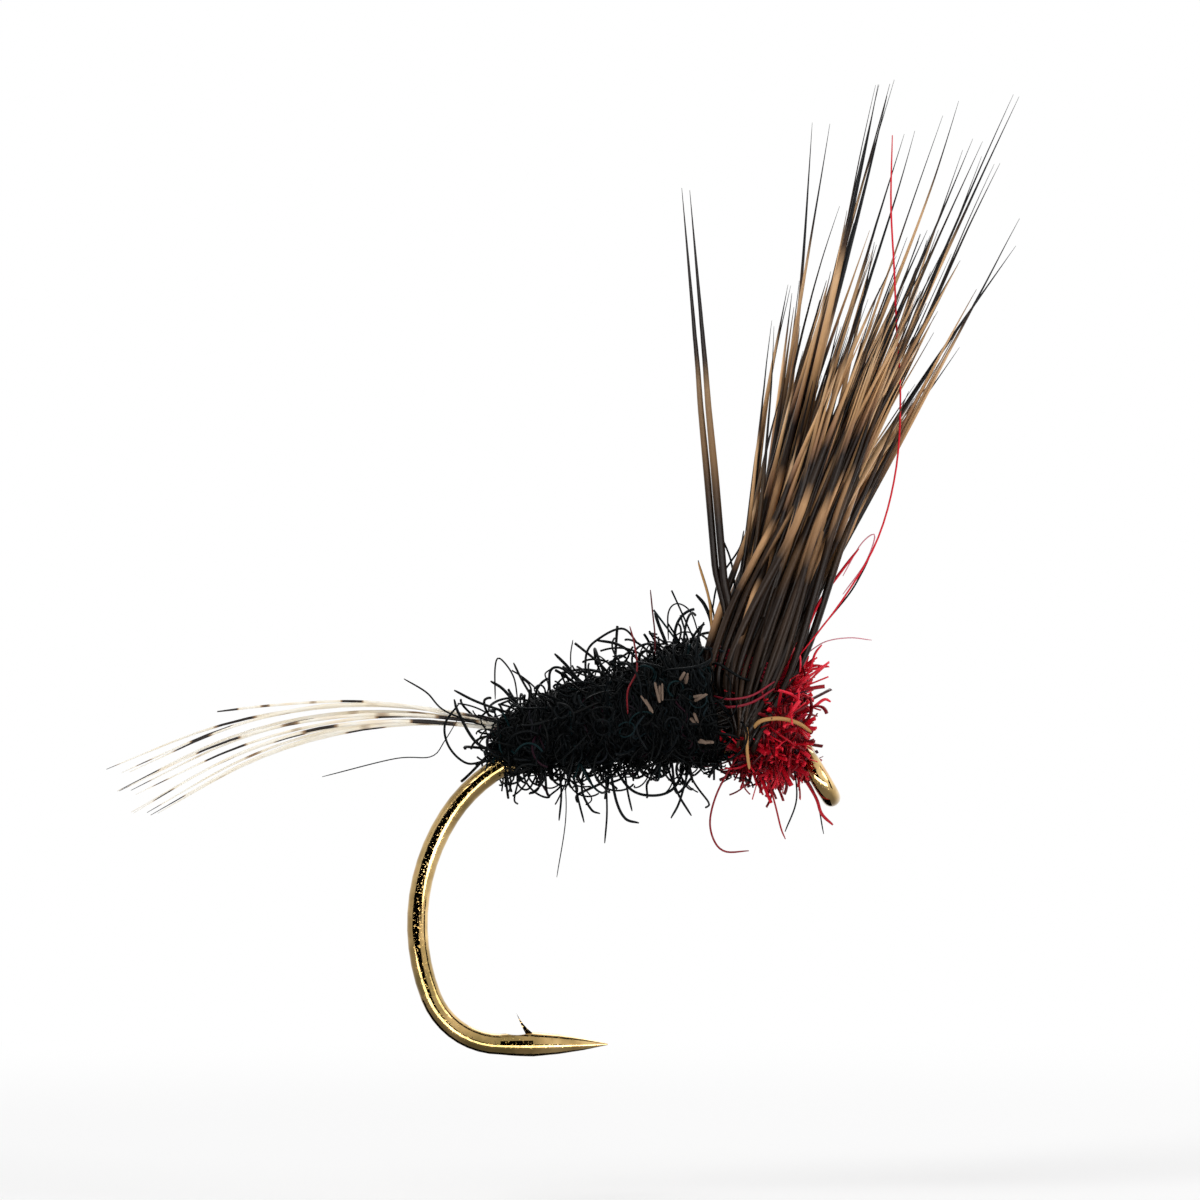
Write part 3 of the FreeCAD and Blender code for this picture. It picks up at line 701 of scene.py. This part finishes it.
thoraxSet = {"axis": 0.85, "ends": 0.04, "rings": 50, "spokes": 72, "inset": 0.20, "insetBelow": 0.16,
             # the thorax core and its wound and crimped fibres take only the darker reds: painted shade inside the
             # fibre mass
             "coreTones": (0.0, 0.2), "paintedShadeTones": (0.0, 0.45), "brightTones": (0.5, 0.93), "points": 12,
             "wound": {"count": 200, "slope": 0.03, "heights": (-0.04, 0.04), "reach": (0.6, 1.6)},
             "woundRadius": (0.025, 0.045),
             "crimped": {"count": 200, "length": (0.4, 1.0), "lift": (0.2, 1.0), "curl": (0.8, 3.0)},
             "crimpedRadius": (0.02, 0.045), "flatness": 0.4,
             "spikes": {"count": 520, "length": (0.35, 1.25), "curl": (0.0, 1.3), "spread": 0.5, "lean": (0, 0, 0)},
             "spikeRadius": (0.026, 0.056), "spikeFlatness": 0.35, "fringeCurl": (0.2, 1.6),
             # in front of the wing, up to the hair, on the thorax's top, where painted light gives it only the
             # brighter reds
             "crest": 110, "crestLow": (-1.0, -0.75, 1.5), "crestHigh": (-0.35, 0.75, 2.35),
             "crestLength": (0.3, 0.85), "crestWay": (0.55, 0, 0.8), "crestLoose": 0.5,
             # round the wire, behind the eye
             "front": 190, "frontRing": (0.05, 0.88), "frontInset": 0.10, "frontLength": (0.22, 0.42),
             "frontOut": 0.8, "frontWay": (0.45, 0, 0), "frontLoose": 0.3}
footPrint = {"height": 0.8, "front": -1.65, "slope": 0.7, "half": 0.4}   # where hair covers the thorax


def woundStrands(skin, picker, points, count, slope, heights, reach):
    # Fibres lying on the skin, wound round the hook, with both ends tucked under
    each = (count, 1)
    u = np.linspace(0, 1, points)[None, :]
    sweep = picker.uniform(*reach, each) * picker.choice([-1, 1], each)
    angle = picker.uniform(0, 2 * math.pi, each) + sweep * u
    wander = np.sin(u * picker.uniform(*layingSet["wanderWaves"], each) + picker.uniform(*layingSet["phase"], each))
    wander = wander * picker.uniform(*layingSet["wander"], each)
    start = picker.uniform(0, 1, each)
    share = start + (slope + picker.normal(size=each) * layingSet["slopeSpread"]) * sweep * u + wander
    lift = picker.uniform(*heights, each)
    ripple = np.sin(u * picker.uniform(*layingSet["rippleWaves"], each) + picker.uniform(*layingSet["phase"], each))
    tuck = layingSet["tuck"] * (2 * np.abs(u - 0.5)) ** layingSet["tuckPower"]
    lines, _ = onSkin(skin, np.clip(share, 0.0, 1.0), angle, lift + ripple * layingSet["ripple"] - tuck)
    return lines


def crimpedStrands(skin, picker, points, count, length, lift, curl):
    # Short crimped fibres that run any way over the skin and curl back into it
    share, angle = picker.uniform(0.0, 1.0, count), picker.uniform(0, 2 * math.pi, count)
    base, out = onSkin(skin, share, angle, picker.uniform(*layingSet["crimpedRoot"], count))
    along = unit(np.cross(out, picker.normal(size=(count, 3))))
    heading = along + out * picker.uniform(*lift, (count, 1))
    long = picker.uniform(*length, count)
    bend = -out + picker.normal(size=(count, 3)) * layingSet["crimpedLoose"]
    curvature = picker.uniform(*curl, count)
    return curls(base, heading, bend, long, curvature, points,
                 picker.normal(size=(count, 1)) * layingSet["crimpedTwist"])


def looseStrands(skin, picker, points, count, length, curl, spread, lean):
    # Fibres that stand out of the skin, each with one even curl
    share, angle = picker.uniform(0.0, 1.0, count), picker.uniform(0, 2 * math.pi, count)
    base, out = onSkin(skin, share, angle, np.full(count, layingSet["looseRoot"]))
    heading = out + picker.normal(size=(count, 3)) * spread + np.array(lean)
    long = picker.uniform(*length, count) * picker.uniform(*layingSet["looseShare"], count)
    curvature = picker.uniform(*curl, count)
    return curls(base, heading, picker.normal(size=(count, 3)), long, curvature, points,
                 picker.normal(size=(count, 1)))


def fringeStrands(root, heading, length, picker):
    # Short fibres from their own roots and headings, each curling its own way
    count = len(root)
    bend, long = picker.normal(size=(count, 3)), picker.uniform(*length, count)
    curvature = picker.uniform(*thoraxSet["fringeCurl"], count)
    return curls(root, heading, bend, long, curvature, thoraxSet["points"], picker.normal(size=(count, 1)))


def blackPiece(name, lines, radius, picker, seed):
    thick = picker.uniform(*radius, (len(lines), 1))
    strandPiece(name, lines, thick, picker.random(len(lines)), blackDubbing, sides=5, seed=seed)


def redPiece(name, lines, radius, picker, seed, flat, tones=(0.0, 1.0)):
    thick = picker.uniform(*radius, (len(lines), 1))
    strandPiece(name, lines, thick, picker.uniform(*tones, len(lines)), redDubbing,
                flat=flat, seed=seed)


def fuzzyCore(name, skin, material, node, tones, seed):
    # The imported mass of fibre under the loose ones: the CAD skin, a little smaller, finely ridged
    rings, spokes, ridge = coreSet["rings"], coreSet["spokes"], coreSet["ridge"]
    picker = np.random.default_rng(seed)
    share = np.linspace(0, 1, rings)[:, None] * np.ones((1, spokes))
    angle = np.linspace(0, 2 * math.pi, spokes, endpoint=False)[None, :] * np.ones((rings, 1))
    ridges = np.repeat(picker.normal(size=(rings, spokes // ridge)), ridge, axis=1) * coreSet["ridgeHeight"]
    points, _ = onSkin(skin, share, angle, ridges - coreSet["depth"])
    tips = np.stack([points[0].mean(axis=0), points[-1].mean(axis=0)])
    vertices = np.vstack([points.reshape(-1, 3), tips])
    index = np.arange(rings * spokes).reshape(rings, spokes)
    turned = np.roll(index, -1, axis=1)
    quads = np.stack([index[:-1], index[1:], turned[1:], turned[:-1]], axis=-1).reshape(-1, 4)
    fans = [(a, b, rings * spokes) for a, b in zip(index[0], turned[0])]
    fans += [(b, a, rings * spokes + 1) for a, b in zip(index[-1], turned[-1])]
    mesh = bpy.data.meshes.new(name)
    mesh.from_pydata((vertices * toMetres).tolist(), [], quads.tolist() + fans)
    mesh.attributes.new("tone", "FLOAT", "POINT").data.foreach_set("value", picker.uniform(*tones, len(vertices)))
    mesh.shade_smooth()
    mesh.materials.append(material)
    addPiece(name, mesh, [node])   # the node it stands for is hidden


def underside(spokes):
    # how far each spoke points down, from 0 to 1
    return np.clip(-np.sin(np.arange(spokes) / spokes * 2 * math.pi), 0, 1)


def makeBody():
    low, high = boxOf("body_dubbing")
    rear, front = bodySet["axis"]
    skin = skinOf("body_dubbing", (low[0] + bodySet["ends"], 0.0, rear), (high[0] - bodySet["ends"], 0.0, front),
                  bodySet["rings"], bodySet["spokes"])
    below = bodySet["insetBelow"] * underside(bodySet["spokes"]) ** 2
    behind = np.clip(1 - np.linspace(0, 1, bodySet["rings"]) / bodySet["rearShare"], 0, 1)[:, None]
    trimmed = skin["table"] - bodySet["inset"] - below - behind * bodySet["insetRear"]
    skin["table"] = np.maximum(trimmed, coreSet["leastRadius"])
    fuzzyCore("dubbing_core", skin, blackDubbing, "body_dubbing", bodySet["coreTones"], 3)
    picker = np.random.default_rng(11)
    for half in (1, 2):
        lines = woundStrands(skin, picker, bodySet["woundPoints"], **bodySet["wound"])
        blackPiece(f"dubbing_wound_{half}", lines, bodySet["fineRadius"], picker, 20 + half)
    for half in (1, 2):
        lines = crimpedStrands(skin, picker, bodySet["points"], **bodySet["crimped"])
        blackPiece(f"dubbing_crimped_{half}", lines, bodySet["fineRadius"], picker, 30 + half)
    lines = looseStrands(skin, picker, bodySet["points"], **bodySet["loose"])
    loops = looseStrands(skin, picker, bodySet["points"], **bodySet["loops"])
    blackPiece("dubbing_loose", lines, bodySet["looseRadius"], picker, 33)
    blackPiece("dubbing_loops", loops, bodySet["looseRadius"], picker, 34)


def makeThorax():
    low, high = boxOf("thorax_dubbing")
    height = thoraxSet["axis"]
    skin = skinOf("thorax_dubbing", (low[0] + thoraxSet["ends"], 0.0, height),
                  (high[0] - thoraxSet["ends"], 0.0, height), thoraxSet["rings"], thoraxSet["spokes"])
    trimmed = skin["table"] - thoraxSet["inset"] - thoraxSet["insetBelow"] * underside(thoraxSet["spokes"])
    skin["table"] = np.maximum(trimmed, coreSet["leastRadius"])
    # painted shade: the thorax core takes only the darkest reds
    fuzzyCore("thorax_core", skin, redDubbing, "thorax_dubbing", thoraxSet["coreTones"], 4)
    picker = np.random.default_rng(12)
    points, flat, spikeFlat = thoraxSet["points"], thoraxSet["flatness"], thoraxSet["spikeFlatness"]
    # painted shade: the wound and crimped fibres under the spikes take only the darker reds
    lines = woundStrands(skin, picker, points, **thoraxSet["wound"])
    redPiece("thorax_wound", lines, thoraxSet["woundRadius"], picker, 41, flat, thoraxSet["paintedShadeTones"])
    lines = crimpedStrands(skin, picker, points, **thoraxSet["crimped"])
    redPiece("thorax_crimped", lines, thoraxSet["crimpedRadius"], picker, 43, flat, thoraxSet["paintedShadeTones"])
    lines = looseStrands(skin, picker, points, **thoraxSet["spikes"])
    root = lines[:, 0]
    hairFront = footPrint["front"] + footPrint["slope"] * (root[:, 2] - footPrint["height"])
    aside = np.abs(root[:, 1]) > footPrint["half"]
    underHair = (root[:, 2] > footPrint["height"]) & (root[:, 0] < hairFront) & aside
    redPiece("thorax_spikes", lines[~underHair], thoraxSet["spikeRadius"], picker, 42, spikeFlat)
    # painted light: the crest on top of the thorax takes only the brighter reds
    crest = (thoraxSet["crest"], 3)
    root = picker.uniform(thoraxSet["crestLow"], thoraxSet["crestHigh"], crest)
    heading = picker.normal(size=crest) * thoraxSet["crestLoose"] + np.array(thoraxSet["crestWay"])
    lines = fringeStrands(root, heading, thoraxSet["crestLength"], picker)
    redPiece("thorax_crest", lines, thoraxSet["spikeRadius"], picker, 44, spikeFlat, thoraxSet["brightTones"])
    front = thoraxSet["front"]
    angle = picker.uniform(0, 2 * math.pi, front)
    out = np.column_stack([np.zeros(front), np.cos(angle), np.sin(angle)])
    centre = np.array([high[0] - thoraxSet["frontInset"], 0, height])
    root = out * picker.uniform(*thoraxSet["frontRing"], (front, 1)) + centre
    heading = out * thoraxSet["frontOut"] + np.array(thoraxSet["frontWay"])
    heading = heading + picker.normal(size=(front, 3)) * thoraxSet["frontLoose"]
    lines = fringeStrands(root, heading, thoraxSet["frontLength"], picker)
    redPiece("thorax_front", lines, thoraxSet["spikeRadius"], picker, 45, spikeFlat)


# Single fibres that stand out of the fly, as (radius, the points each runs through)
strayBlack = [
    (0.022, [(-9.1, -0.3, 2.15), (-8.6, -0.4, 1.85), (-8.2, -0.4, 1.45), (-7.3, -0.3, 1.1)]),
    (0.026, [(-7.9, -0.2, 1.6), (-8.2, -0.4, 1.15), (-8.1, -0.5, 0.65), (-7.7, -0.5, 0.3), (-7.2, -0.4, 0.4)]),
    (0.034, [(-8.0, -0.3, 1.7), (-7.9, -0.4, 1.4), (-7.5, -0.5, 0.75), (-6.9, -0.4, 0.5)]),
    (0.013, [(-7.9, -0.4, 1.3), (-8.2, -0.5, 0.8), (-8.5, -0.5, 0.45), (-9.3, -0.3, 0.4), (-10.9, -0.2, 0.0)]),
    (0.020, [(-7.1, -0.3, 1.7), (-7.1, -0.4, 2.4), (-7.0, -0.4, 2.6), (-6.7, -0.3, 2.2), (-6.6, -0.2, 1.6)]),
    (0.030, [(-8.0, -0.3, 1.9), (-7.5, -0.4, 1.65), (-6.8, -0.3, 1.4)]),
    (0.026, [(-6.7, -0.2, 2.5), (-6.5, -0.3, 2.1), (-6.2, -0.3, 1.6)]),
    (0.034, [(-7.2, -0.3, 2.1), (-6.9, -0.4, 1.9), (-6.5, -0.3, 1.4)]),
    (0.028, [(-5.1, -0.3, 1.9), (-5.1, -0.5, 2.7), (-4.8, -0.5, 3.05), (-4.3, -0.4, 3.25), (-3.95, -0.3, 2.9)]),
    (0.032, [(-4.9, -0.3, 3.0), (-4.4, -0.4, 2.9), (-4.0, -0.4, 2.6), (-3.8, -0.3, 2.2)]),
    (0.030, [(-5.9, -0.2, 1.8), (-5.9, -0.3, 2.3), (-5.7, -0.4, 2.4), (-5.4, -0.4, 2.2), (-5.1, -0.3, 1.9)]),
    (0.036, [(-5.8, -0.1, 2.7), (-5.5, -0.2, 2.4), (-5.1, -0.2, 1.9)]),
    (0.016, [(-5.4, 0.2, 3.0), (-5.45, 0.2, 2.6), (-5.4, 0.1, 1.9)]),
    (0.042, [(-3.6, -0.2, 3.6), (-3.5, -0.3, 3.3), (-3.3, -0.3, 2.8)]),
    (0.018, [(-3.3, 0.1, 3.0), (-3.3, 0.1, 3.6), (-3.1, 0.2, 3.8), (-2.8, 0.2, 3.6), (-2.6, 0.2, 3.0)]),
    (0.046, [(-2.7, -0.3, 4.0), (-2.5, -0.3, 3.75), (-2.35, -0.3, 3.3), (-2.4, -0.3, 2.7)]),
    (0.024, [(-6.6, -0.2, 0.4), (-6.6, -0.3, -0.15), (-6.35, -0.3, -0.25), (-6.1, -0.2, 0.3)]),
    (0.026, [(-6.0, -0.3, 0.4), (-5.8, -0.4, -0.1), (-5.5, -0.4, -0.15), (-5.45, -0.3, 0.4)]),
    (0.026, [(-5.7, -0.4, 0.4), (-5.65, -0.5, -0.35), (-5.7, -0.5, -0.95)]),
    (0.012, [(-5.6, -0.3, 0.4), (-5.55, -0.4, -0.85), (-5.75, -0.3, -2.2)]),
    (0.024, [(-5.45, -0.2, 0.4), (-5.3, -0.3, -0.4), (-5.15, -0.3, -1.0)]),
    (0.028, [(-5.1, -0.4, 0.4), (-5.2, -0.5, -0.25), (-5.0, -0.5, -0.7), (-4.8, -0.5, -0.8)]),
    (0.022, [(-4.7, -0.3, 0.4), (-4.65, -0.4, -0.7), (-4.7, -0.4, -1.45)]),
    (0.034, [(-4.6, -0.5, 0.3), (-4.45, -0.6, -0.5), (-4.25, -0.6, -0.9), (-3.95, -0.6, -1.0)]),
    (0.034, [(-4.6, -0.3, 0.4), (-4.15, -0.5, -0.25), (-3.65, -0.6, -0.4), (-3.2, -0.5, -0.25), (-2.9, -0.3, 0.3)]),
    (0.024, [(-4.3, -0.2, 0.4), (-4.2, -0.3, -0.3), (-4.1, -0.3, -0.75)]),
    (0.028, [(-3.4, -0.3, 0.4), (-3.1, -0.4, -0.35), (-2.8, -0.4, -0.85)]),
    (0.026, [(-2.8, -0.4, 0.4), (-3.05, -0.5, -0.5), (-3.25, -0.5, -0.9)]),
    (0.020, [(-2.65, -0.2, 4.75), (-2.5, -0.2, 4.2), (-2.3, -0.2, 3.5), (-2.35, -0.2, 2.8)]),
    (0.022, [(-2.2, -0.2, 5.4), (-1.95, -0.2, 4.8), (-1.85, -0.2, 4.2), (-1.8, -0.2, 3.4)]),
    (0.024, [(-2.35, -0.3, 3.6), (-2.2, -0.3, 4.3), (-1.75, -0.3, 5.0), (-1.65, -0.3, 5.4)]),
    (0.020, [(-0.6, -0.3, 2.3), (0.0, -0.3, 3.2), (0.65, -0.3, 4.0), (0.95, -0.3, 4.5), (1.1, -0.3, 4.8)]),
    (0.018, [(-0.55, -0.3, 0.3), (-0.5, -0.4, -0.5), (-0.75, -0.4, -1.2)]),
    (0.018, [(-0.6, -0.2, 0.4), (-0.1, -0.3, -0.35), (0.1, -0.3, -1.25)])]
strayRed = [
    (0.019, [(-3.6, -0.4, 2.6), (-3.6, -0.5, 3.1), (-3.65, -0.5, 3.6), (-3.7, -0.5, 4.1)]),
    (0.021, [(-4.15, -0.6, 3.3), (-4.05, -0.9, 2.9), (-4.0, -1.2, 2.35), (-4.2, -1.4, 1.9), (-4.2, -1.4, 1.4)]),
    (0.022, [(-1.6, -0.6, 0.7), (-1.9, -0.8, 0.3), (-2.25, -0.8, -0.35), (-2.4, -0.8, -0.95), (-2.3, -0.8, -1.4),
             (-2.05, -0.8, -1.62), (-1.55, -0.8, -1.6)]),
    (0.022, [(-1.3, -0.6, 0.5), (-1.0, -0.7, -0.5), (-0.85, -0.7, -1.1), (-0.75, -0.7, -1.35)]),
    (0.036, [(-0.6, -0.3, 0.4), (-0.1, -0.4, -0.4), (0.05, -0.4, -0.8), (0.3, -0.4, -1.05)]),
    (0.034, [(-0.9, -0.7, 2.1), (-0.35, -0.8, 3.1), (0.0, -0.8, 3.85), (0.5, -0.8, 4.55), (0.85, -0.8, 5.0)]),
    (0.022, [(-0.5, -0.9, 2.6), (0.5, -1.0, 3.9), (1.25, -1.0, 5.2), (1.65, -1.0, 6.7), (1.75, -1.0, 8.3),
             (1.65, -1.4, 9.8), (1.55, -2.5, 11.0), (1.47, -2.7, 12.4), (1.5, -2.7, 13.9)]),
    (0.030, [(-0.9, -0.5, 1.6), (-0.3, -0.6, 2.2), (-0.1, -0.6, 2.7), (0.05, -0.6, 2.9)]),
    (0.034, [(-0.8, -0.4, 1.3), (-0.2, -0.5, 1.5), (0.1, -0.5, 1.7), (0.25, -0.5, 1.65)])]
strayPink = [
    (0.013, [(-0.4, -0.3, 2.6), (0.1, -0.4, 2.95), (0.65, -0.4, 3.05), (1.15, -0.4, 3.0)]),
    (0.015, [(0.5, -0.8, 4.0), (1.0, -0.8, 4.7), (1.2, -0.8, 5.3), (0.9, -0.8, 5.1), (0.5, -0.8, 4.4)]),
    (0.028, [(-2.45, -0.9, 1.65), (-2.0, -1.30, 1.55), (-1.5, -1.42, 1.65), (-1.0, -1.25, 1.95)]),
    (0.026, [(-2.40, -0.9, 1.80), (-2.0, -1.28, 1.72), (-1.5, -1.40, 1.80), (-1.0, -1.20, 2.10)])]
strayTan = [
    (0.045, [(-1.5, -1.2, 1.05), (-1.3, -1.5, 1.25), (-0.9, -1.5, 1.3), (-0.5, -1.35, 1.2), (-0.2, -1.1, 1.0)]),
    (0.035, [(-1.6, -1.3, 1.1), (-1.6, -1.45, 0.6), (-1.55, -1.3, 0.2)]),
    (0.030, [(-2.35, -0.5, 2.8), (-2.4, -0.6, 3.8), (-2.65, -0.6, 4.7)])]
# One barb that springs up out of the tail
strayBarb = [
    (0.030, [(-7.4, -0.2, 1.25), (-8.26, -0.2, 1.40), (-9.17, -0.2, 1.58), (-10.40, -0.2, 1.66),
             (-11.98, -0.2, 1.57), (-13.20, -0.2, 1.43)])]
# Trimmed ends of the wing's hair that show through the body, as (middle, from one end to the other)
hairButts = [((-3.78, -1.60, 1.58), (0.16, -0.20, -0.30)), ((-3.50, -1.58, 1.85), (0.06, -0.20, -0.36)),
             ((-2.62, -1.62, 1.78), (0.24, -0.16, 0.08)), ((-2.50, -1.60, 0.78), (0.14, -0.18, -0.05)),
             ((-2.75, -1.60, 1.30), (0.10, -0.20, -0.16)), ((-3.00, -1.62, 2.20), (0.10, -0.20, 0.16))]


straySet = {"points": 40, "blunt": 8, "endShare": 0.5,      # a fibre keeps its thickness until close to its ends
            "tones": (0.3, 0.85), "redTones": (0.04, 0.85), "tanTone": 0.35, "buttTone": 0.7,
            "butts": 3, "buttSpread": 0.035, "buttReach": (0.8, 1.3), "buttTurn": 0.04,
            "buttRadius": (0.024, 0.040), "buttBow": 0.03}


def trimmedButts():
    # a few cut hairs at each place, nearly side by side
    picker = np.random.default_rng(70)
    butts = []
    for centre, way in hairButts:
        for _ in range(straySet["butts"]):
            start = np.array(centre) + picker.normal(size=3) * straySet["buttSpread"]
            reach = np.array(way) * picker.uniform(*straySet["buttReach"])
            reach = reach + picker.normal(size=3) * straySet["buttTurn"]
            bowed = start + [0, -straySet["buttBow"], 0]
            butts.append((picker.uniform(*straySet["buttRadius"]), [start - reach / 2, bowed, start + reach / 2]))
    return butts


def straysPiece(name, strays, tones, material):
    points = straySet["points"]
    lines = [curveThrough(places, points) for _, places in strays]
    ends = 1 - straySet["endShare"] * np.abs(2 * np.linspace(0, 1, points) - 1) ** straySet["blunt"]
    radii = np.array([radius for radius, _ in strays])[:, None] * ends
    strandPiece(name, lines, radii, tones, material, seed=50)


def makeStrays():
    butts = trimmedButts()
    plain = straySet["tones"]
    straysPiece("stray_black", strayBlack, np.linspace(*plain, len(strayBlack)), blackDubbing)
    straysPiece("stray_red", strayRed, np.linspace(*straySet["redTones"], len(strayRed)), redDubbing)
    straysPiece("stray_pink", strayPink, np.linspace(*plain, len(strayPink)), palePink)
    tones = [straySet["tanTone"]] * len(strayTan) + [straySet["buttTone"]] * len(butts)
    straysPiece("stray_tan", strayTan + butts, tones, hairButt)
    straysPiece("stray_barb", strayBarb, plain[:1], hackleBarb)


makeBody()
makeThorax()
makeStrays()
print("dubbing made")


# The floor, and the cards and lamps round the fly
stageSet = {"drop": 3.4, "half": 600.0,   # the floor below the fly's lowest place, and from its middle to an edge
            "shadowed": 60.0,             # the floor beyond this far is plain white
            "fill": 0.62,                 # the room's light on the fly
            "below": 0.3, "left": 0.75, "right": 1.45, "dim": -0.75,   # the room as the wire mirrors it
            "bright": 8.0,                # the strength of the bright card
            # black and bright cards out of view, as opposite corners
            "cards": {"black_front": ((-304, -190, -36), (-12, -190, 145)),
                      "black_ledge": ((-12, -190, -36), (62, -190, 0)),
                      "black_sill": ((62, -190, -36), (190, -190, -16)),
                      "black_side": ((300, -90, -60), (300, 5, 340)),
                      "black_back": ((-500, 40, -200), (40, 420, -200)),
                      "bright_low": ((-200, -190, -100), (220, -190, -36))}}
# each lamp's place from the middle of the fly, its width and its watts
lampSet = {"key": ((-90, -120, 130), 90, 0.10),
           "side": ((130, -60, 60), 80, 0.06),
           "rim": ((20, 120, 110), 90, 0.06)}


def addFace(name, corners, material):
    # a four-sided card of the stage
    mesh = bpy.data.meshes.new(name)
    mesh.from_pydata((np.array(corners) * toMetres).tolist(), [], [(0, 1, 2, 3)])
    mesh.materials.append(material)
    card = bpy.data.objects.new(name, mesh)
    bpy.context.scene.collection.objects.link(card)
    return card


def makeStage():
    # A sheet of matt white card that keeps the fly's shadow and fades into the white room
    material, tree = newTree("matt white card")
    seen = addNode(tree, "ShaderNodeLightPath")
    place = addNode(tree, "ShaderNodeTexCoord")
    away = addNode(tree, "ShaderNodeVectorMath", {"operation": "LENGTH"}, {0: (place, "Object")})
    far = addNode(tree, "ShaderNodeMapRange", {"interpolation_type": "SMOOTHSTEP"}, {
        "Value": (away, "Value"), "From Min": stageSet["shadowed"] * toMetres / 2,
        "From Max": stageSet["shadowed"] * toMetres})
    share = addNode(tree, "ShaderNodeMath", {"operation": "MULTIPLY"}, {
        0: (seen, "Is Camera Ray"), 1: (far, "Result")})
    paper = addNode(tree, "ShaderNodeBsdfDiffuse", {}, {"Color": hexColour("#fafafa")})
    glow = addNode(tree, "ShaderNodeEmission", {}, {"Strength": 1.0})
    mix = addNode(tree, "ShaderNodeMixShader", {}, {
        0: (share, "Value"), 1: (paper, "BSDF"), 2: (glow, "Emission")})
    addNode(tree, "ShaderNodeOutputMaterial", {}, {"Surface": (mix, "Shader")})
    half, height = stageSet["half"], lowest[2] - stageSet["drop"]
    corners = [(-half, -half, height), (half, -half, height), (half, half, height), (-half, half, height)]
    floor = addFace("floor", corners, material)
    floor.visible_glossy = False   # the wire mirrors the white room in its place


def makeCards():
    # Only the wire's mirror finish sees these
    black, tree = newTree("black card")
    flat = addNode(tree, "ShaderNodeBsdfDiffuse", {}, {"Color": hexColour("#050505")})
    addNode(tree, "ShaderNodeOutputMaterial", {}, {"Surface": (flat, "BSDF")})
    bright, tree = newTree("lit white card")
    glow = addNode(tree, "ShaderNodeEmission", {}, {"Strength": stageSet["bright"]})
    addNode(tree, "ShaderNodeOutputMaterial", {}, {"Surface": (glow, "Emission")})
    for name, ((x0, y0, z0), (x1, y1, z1)) in stageSet["cards"].items():
        corners = [(x0, y0, z0), (x1, y0, z0), (x1, y1, z1), (x0, y1, z1)]
        if x0 == x1:
            corners = [(x0, y0, z0), (x0, y1, z0), (x0, y1, z1), (x0, y0, z1)]
        card = addFace(name, corners, bright if name.startswith("bright") else black)
        card.visible_camera = card.visible_diffuse = card.visible_shadow = card.visible_transmission = False


def makeLight(name, place, width, watts):
    lamp = bpy.data.lights.new(name, "AREA")
    lamp.shape = "DISK"
    lamp.size = width * toMetres
    lamp.energy = watts
    holder = bpy.data.objects.new(name, lamp)
    holder.location = Vector(middle + np.array(place)) * toMetres
    towards = Vector(middle * toMetres) - holder.location
    holder.rotation_euler = towards.to_track_quat("-Z", "Y").to_euler()
    bpy.context.scene.collection.objects.link(holder)


def makeWorld():
    # A white room: plain white behind the fly, an even fill on it, and paler to the right and
    # darker below as the wire mirrors it
    world = bpy.data.worlds.new("white room")
    bpy.context.scene.world = world
    world.use_nodes = True
    tree = world.node_tree
    tree.nodes.clear()
    seen = addNode(tree, "ShaderNodeLightPath")
    place = addNode(tree, "ShaderNodeTexCoord")
    height = addNode(tree, "ShaderNodeSeparateXYZ", {}, {"Vector": (place, "Generated")})
    shade = addNode(tree, "ShaderNodeMapRange", {}, {
        "Value": (height, "Z"), "From Min": stageSet["dim"], "From Max": 0.0, "To Min": stageSet["below"],
        "To Max": 1.0})
    side = addNode(tree, "ShaderNodeMapRange", {}, {
        "Value": (height, "X"), "From Min": -1.0, "From Max": 1.0, "To Min": stageSet["left"],
        "To Max": stageSet["right"]})
    shaded = addNode(tree, "ShaderNodeMath", {"operation": "MULTIPLY"}, {0: (side, "Result"), 1: (shade, "Result")})
    mirrored = addNode(tree, "ShaderNodeMath", {"operation": "MULTIPLY"}, {
        0: (seen, "Is Glossy Ray"), 1: (shaded, "Value")})
    whole = addNode(tree, "ShaderNodeMath", {"operation": "MAXIMUM"}, {
        0: (seen, "Is Camera Ray"), 1: (seen, "Is Transmission Ray")})
    either = addNode(tree, "ShaderNodeMath", {"operation": "MAXIMUM"}, {0: (mirrored, "Value"), 1: (whole, "Value")})
    plain = addNode(tree, "ShaderNodeMath", {"operation": "SUBTRACT"}, {
        0: stageSet["fill"], 1: (seen, "Is Glossy Ray")})
    strength = addNode(tree, "ShaderNodeMath", {"operation": "MAXIMUM"}, {0: (either, "Value"), 1: (plain, "Value")})
    light = addNode(tree, "ShaderNodeBackground", {}, {"Color": (1, 1, 1, 1), "Strength": (strength, "Value")})
    addNode(tree, "ShaderNodeOutputWorld", {}, {"Surface": (light, "Background")})


makeStage()
makeCards()
makeWorld()
for lampName, (lampPlace, lampWidth, lampWatts) in lampSet.items():
    makeLight(lampName, lampPlace, lampWidth, lampWatts)
print("stage and light made")
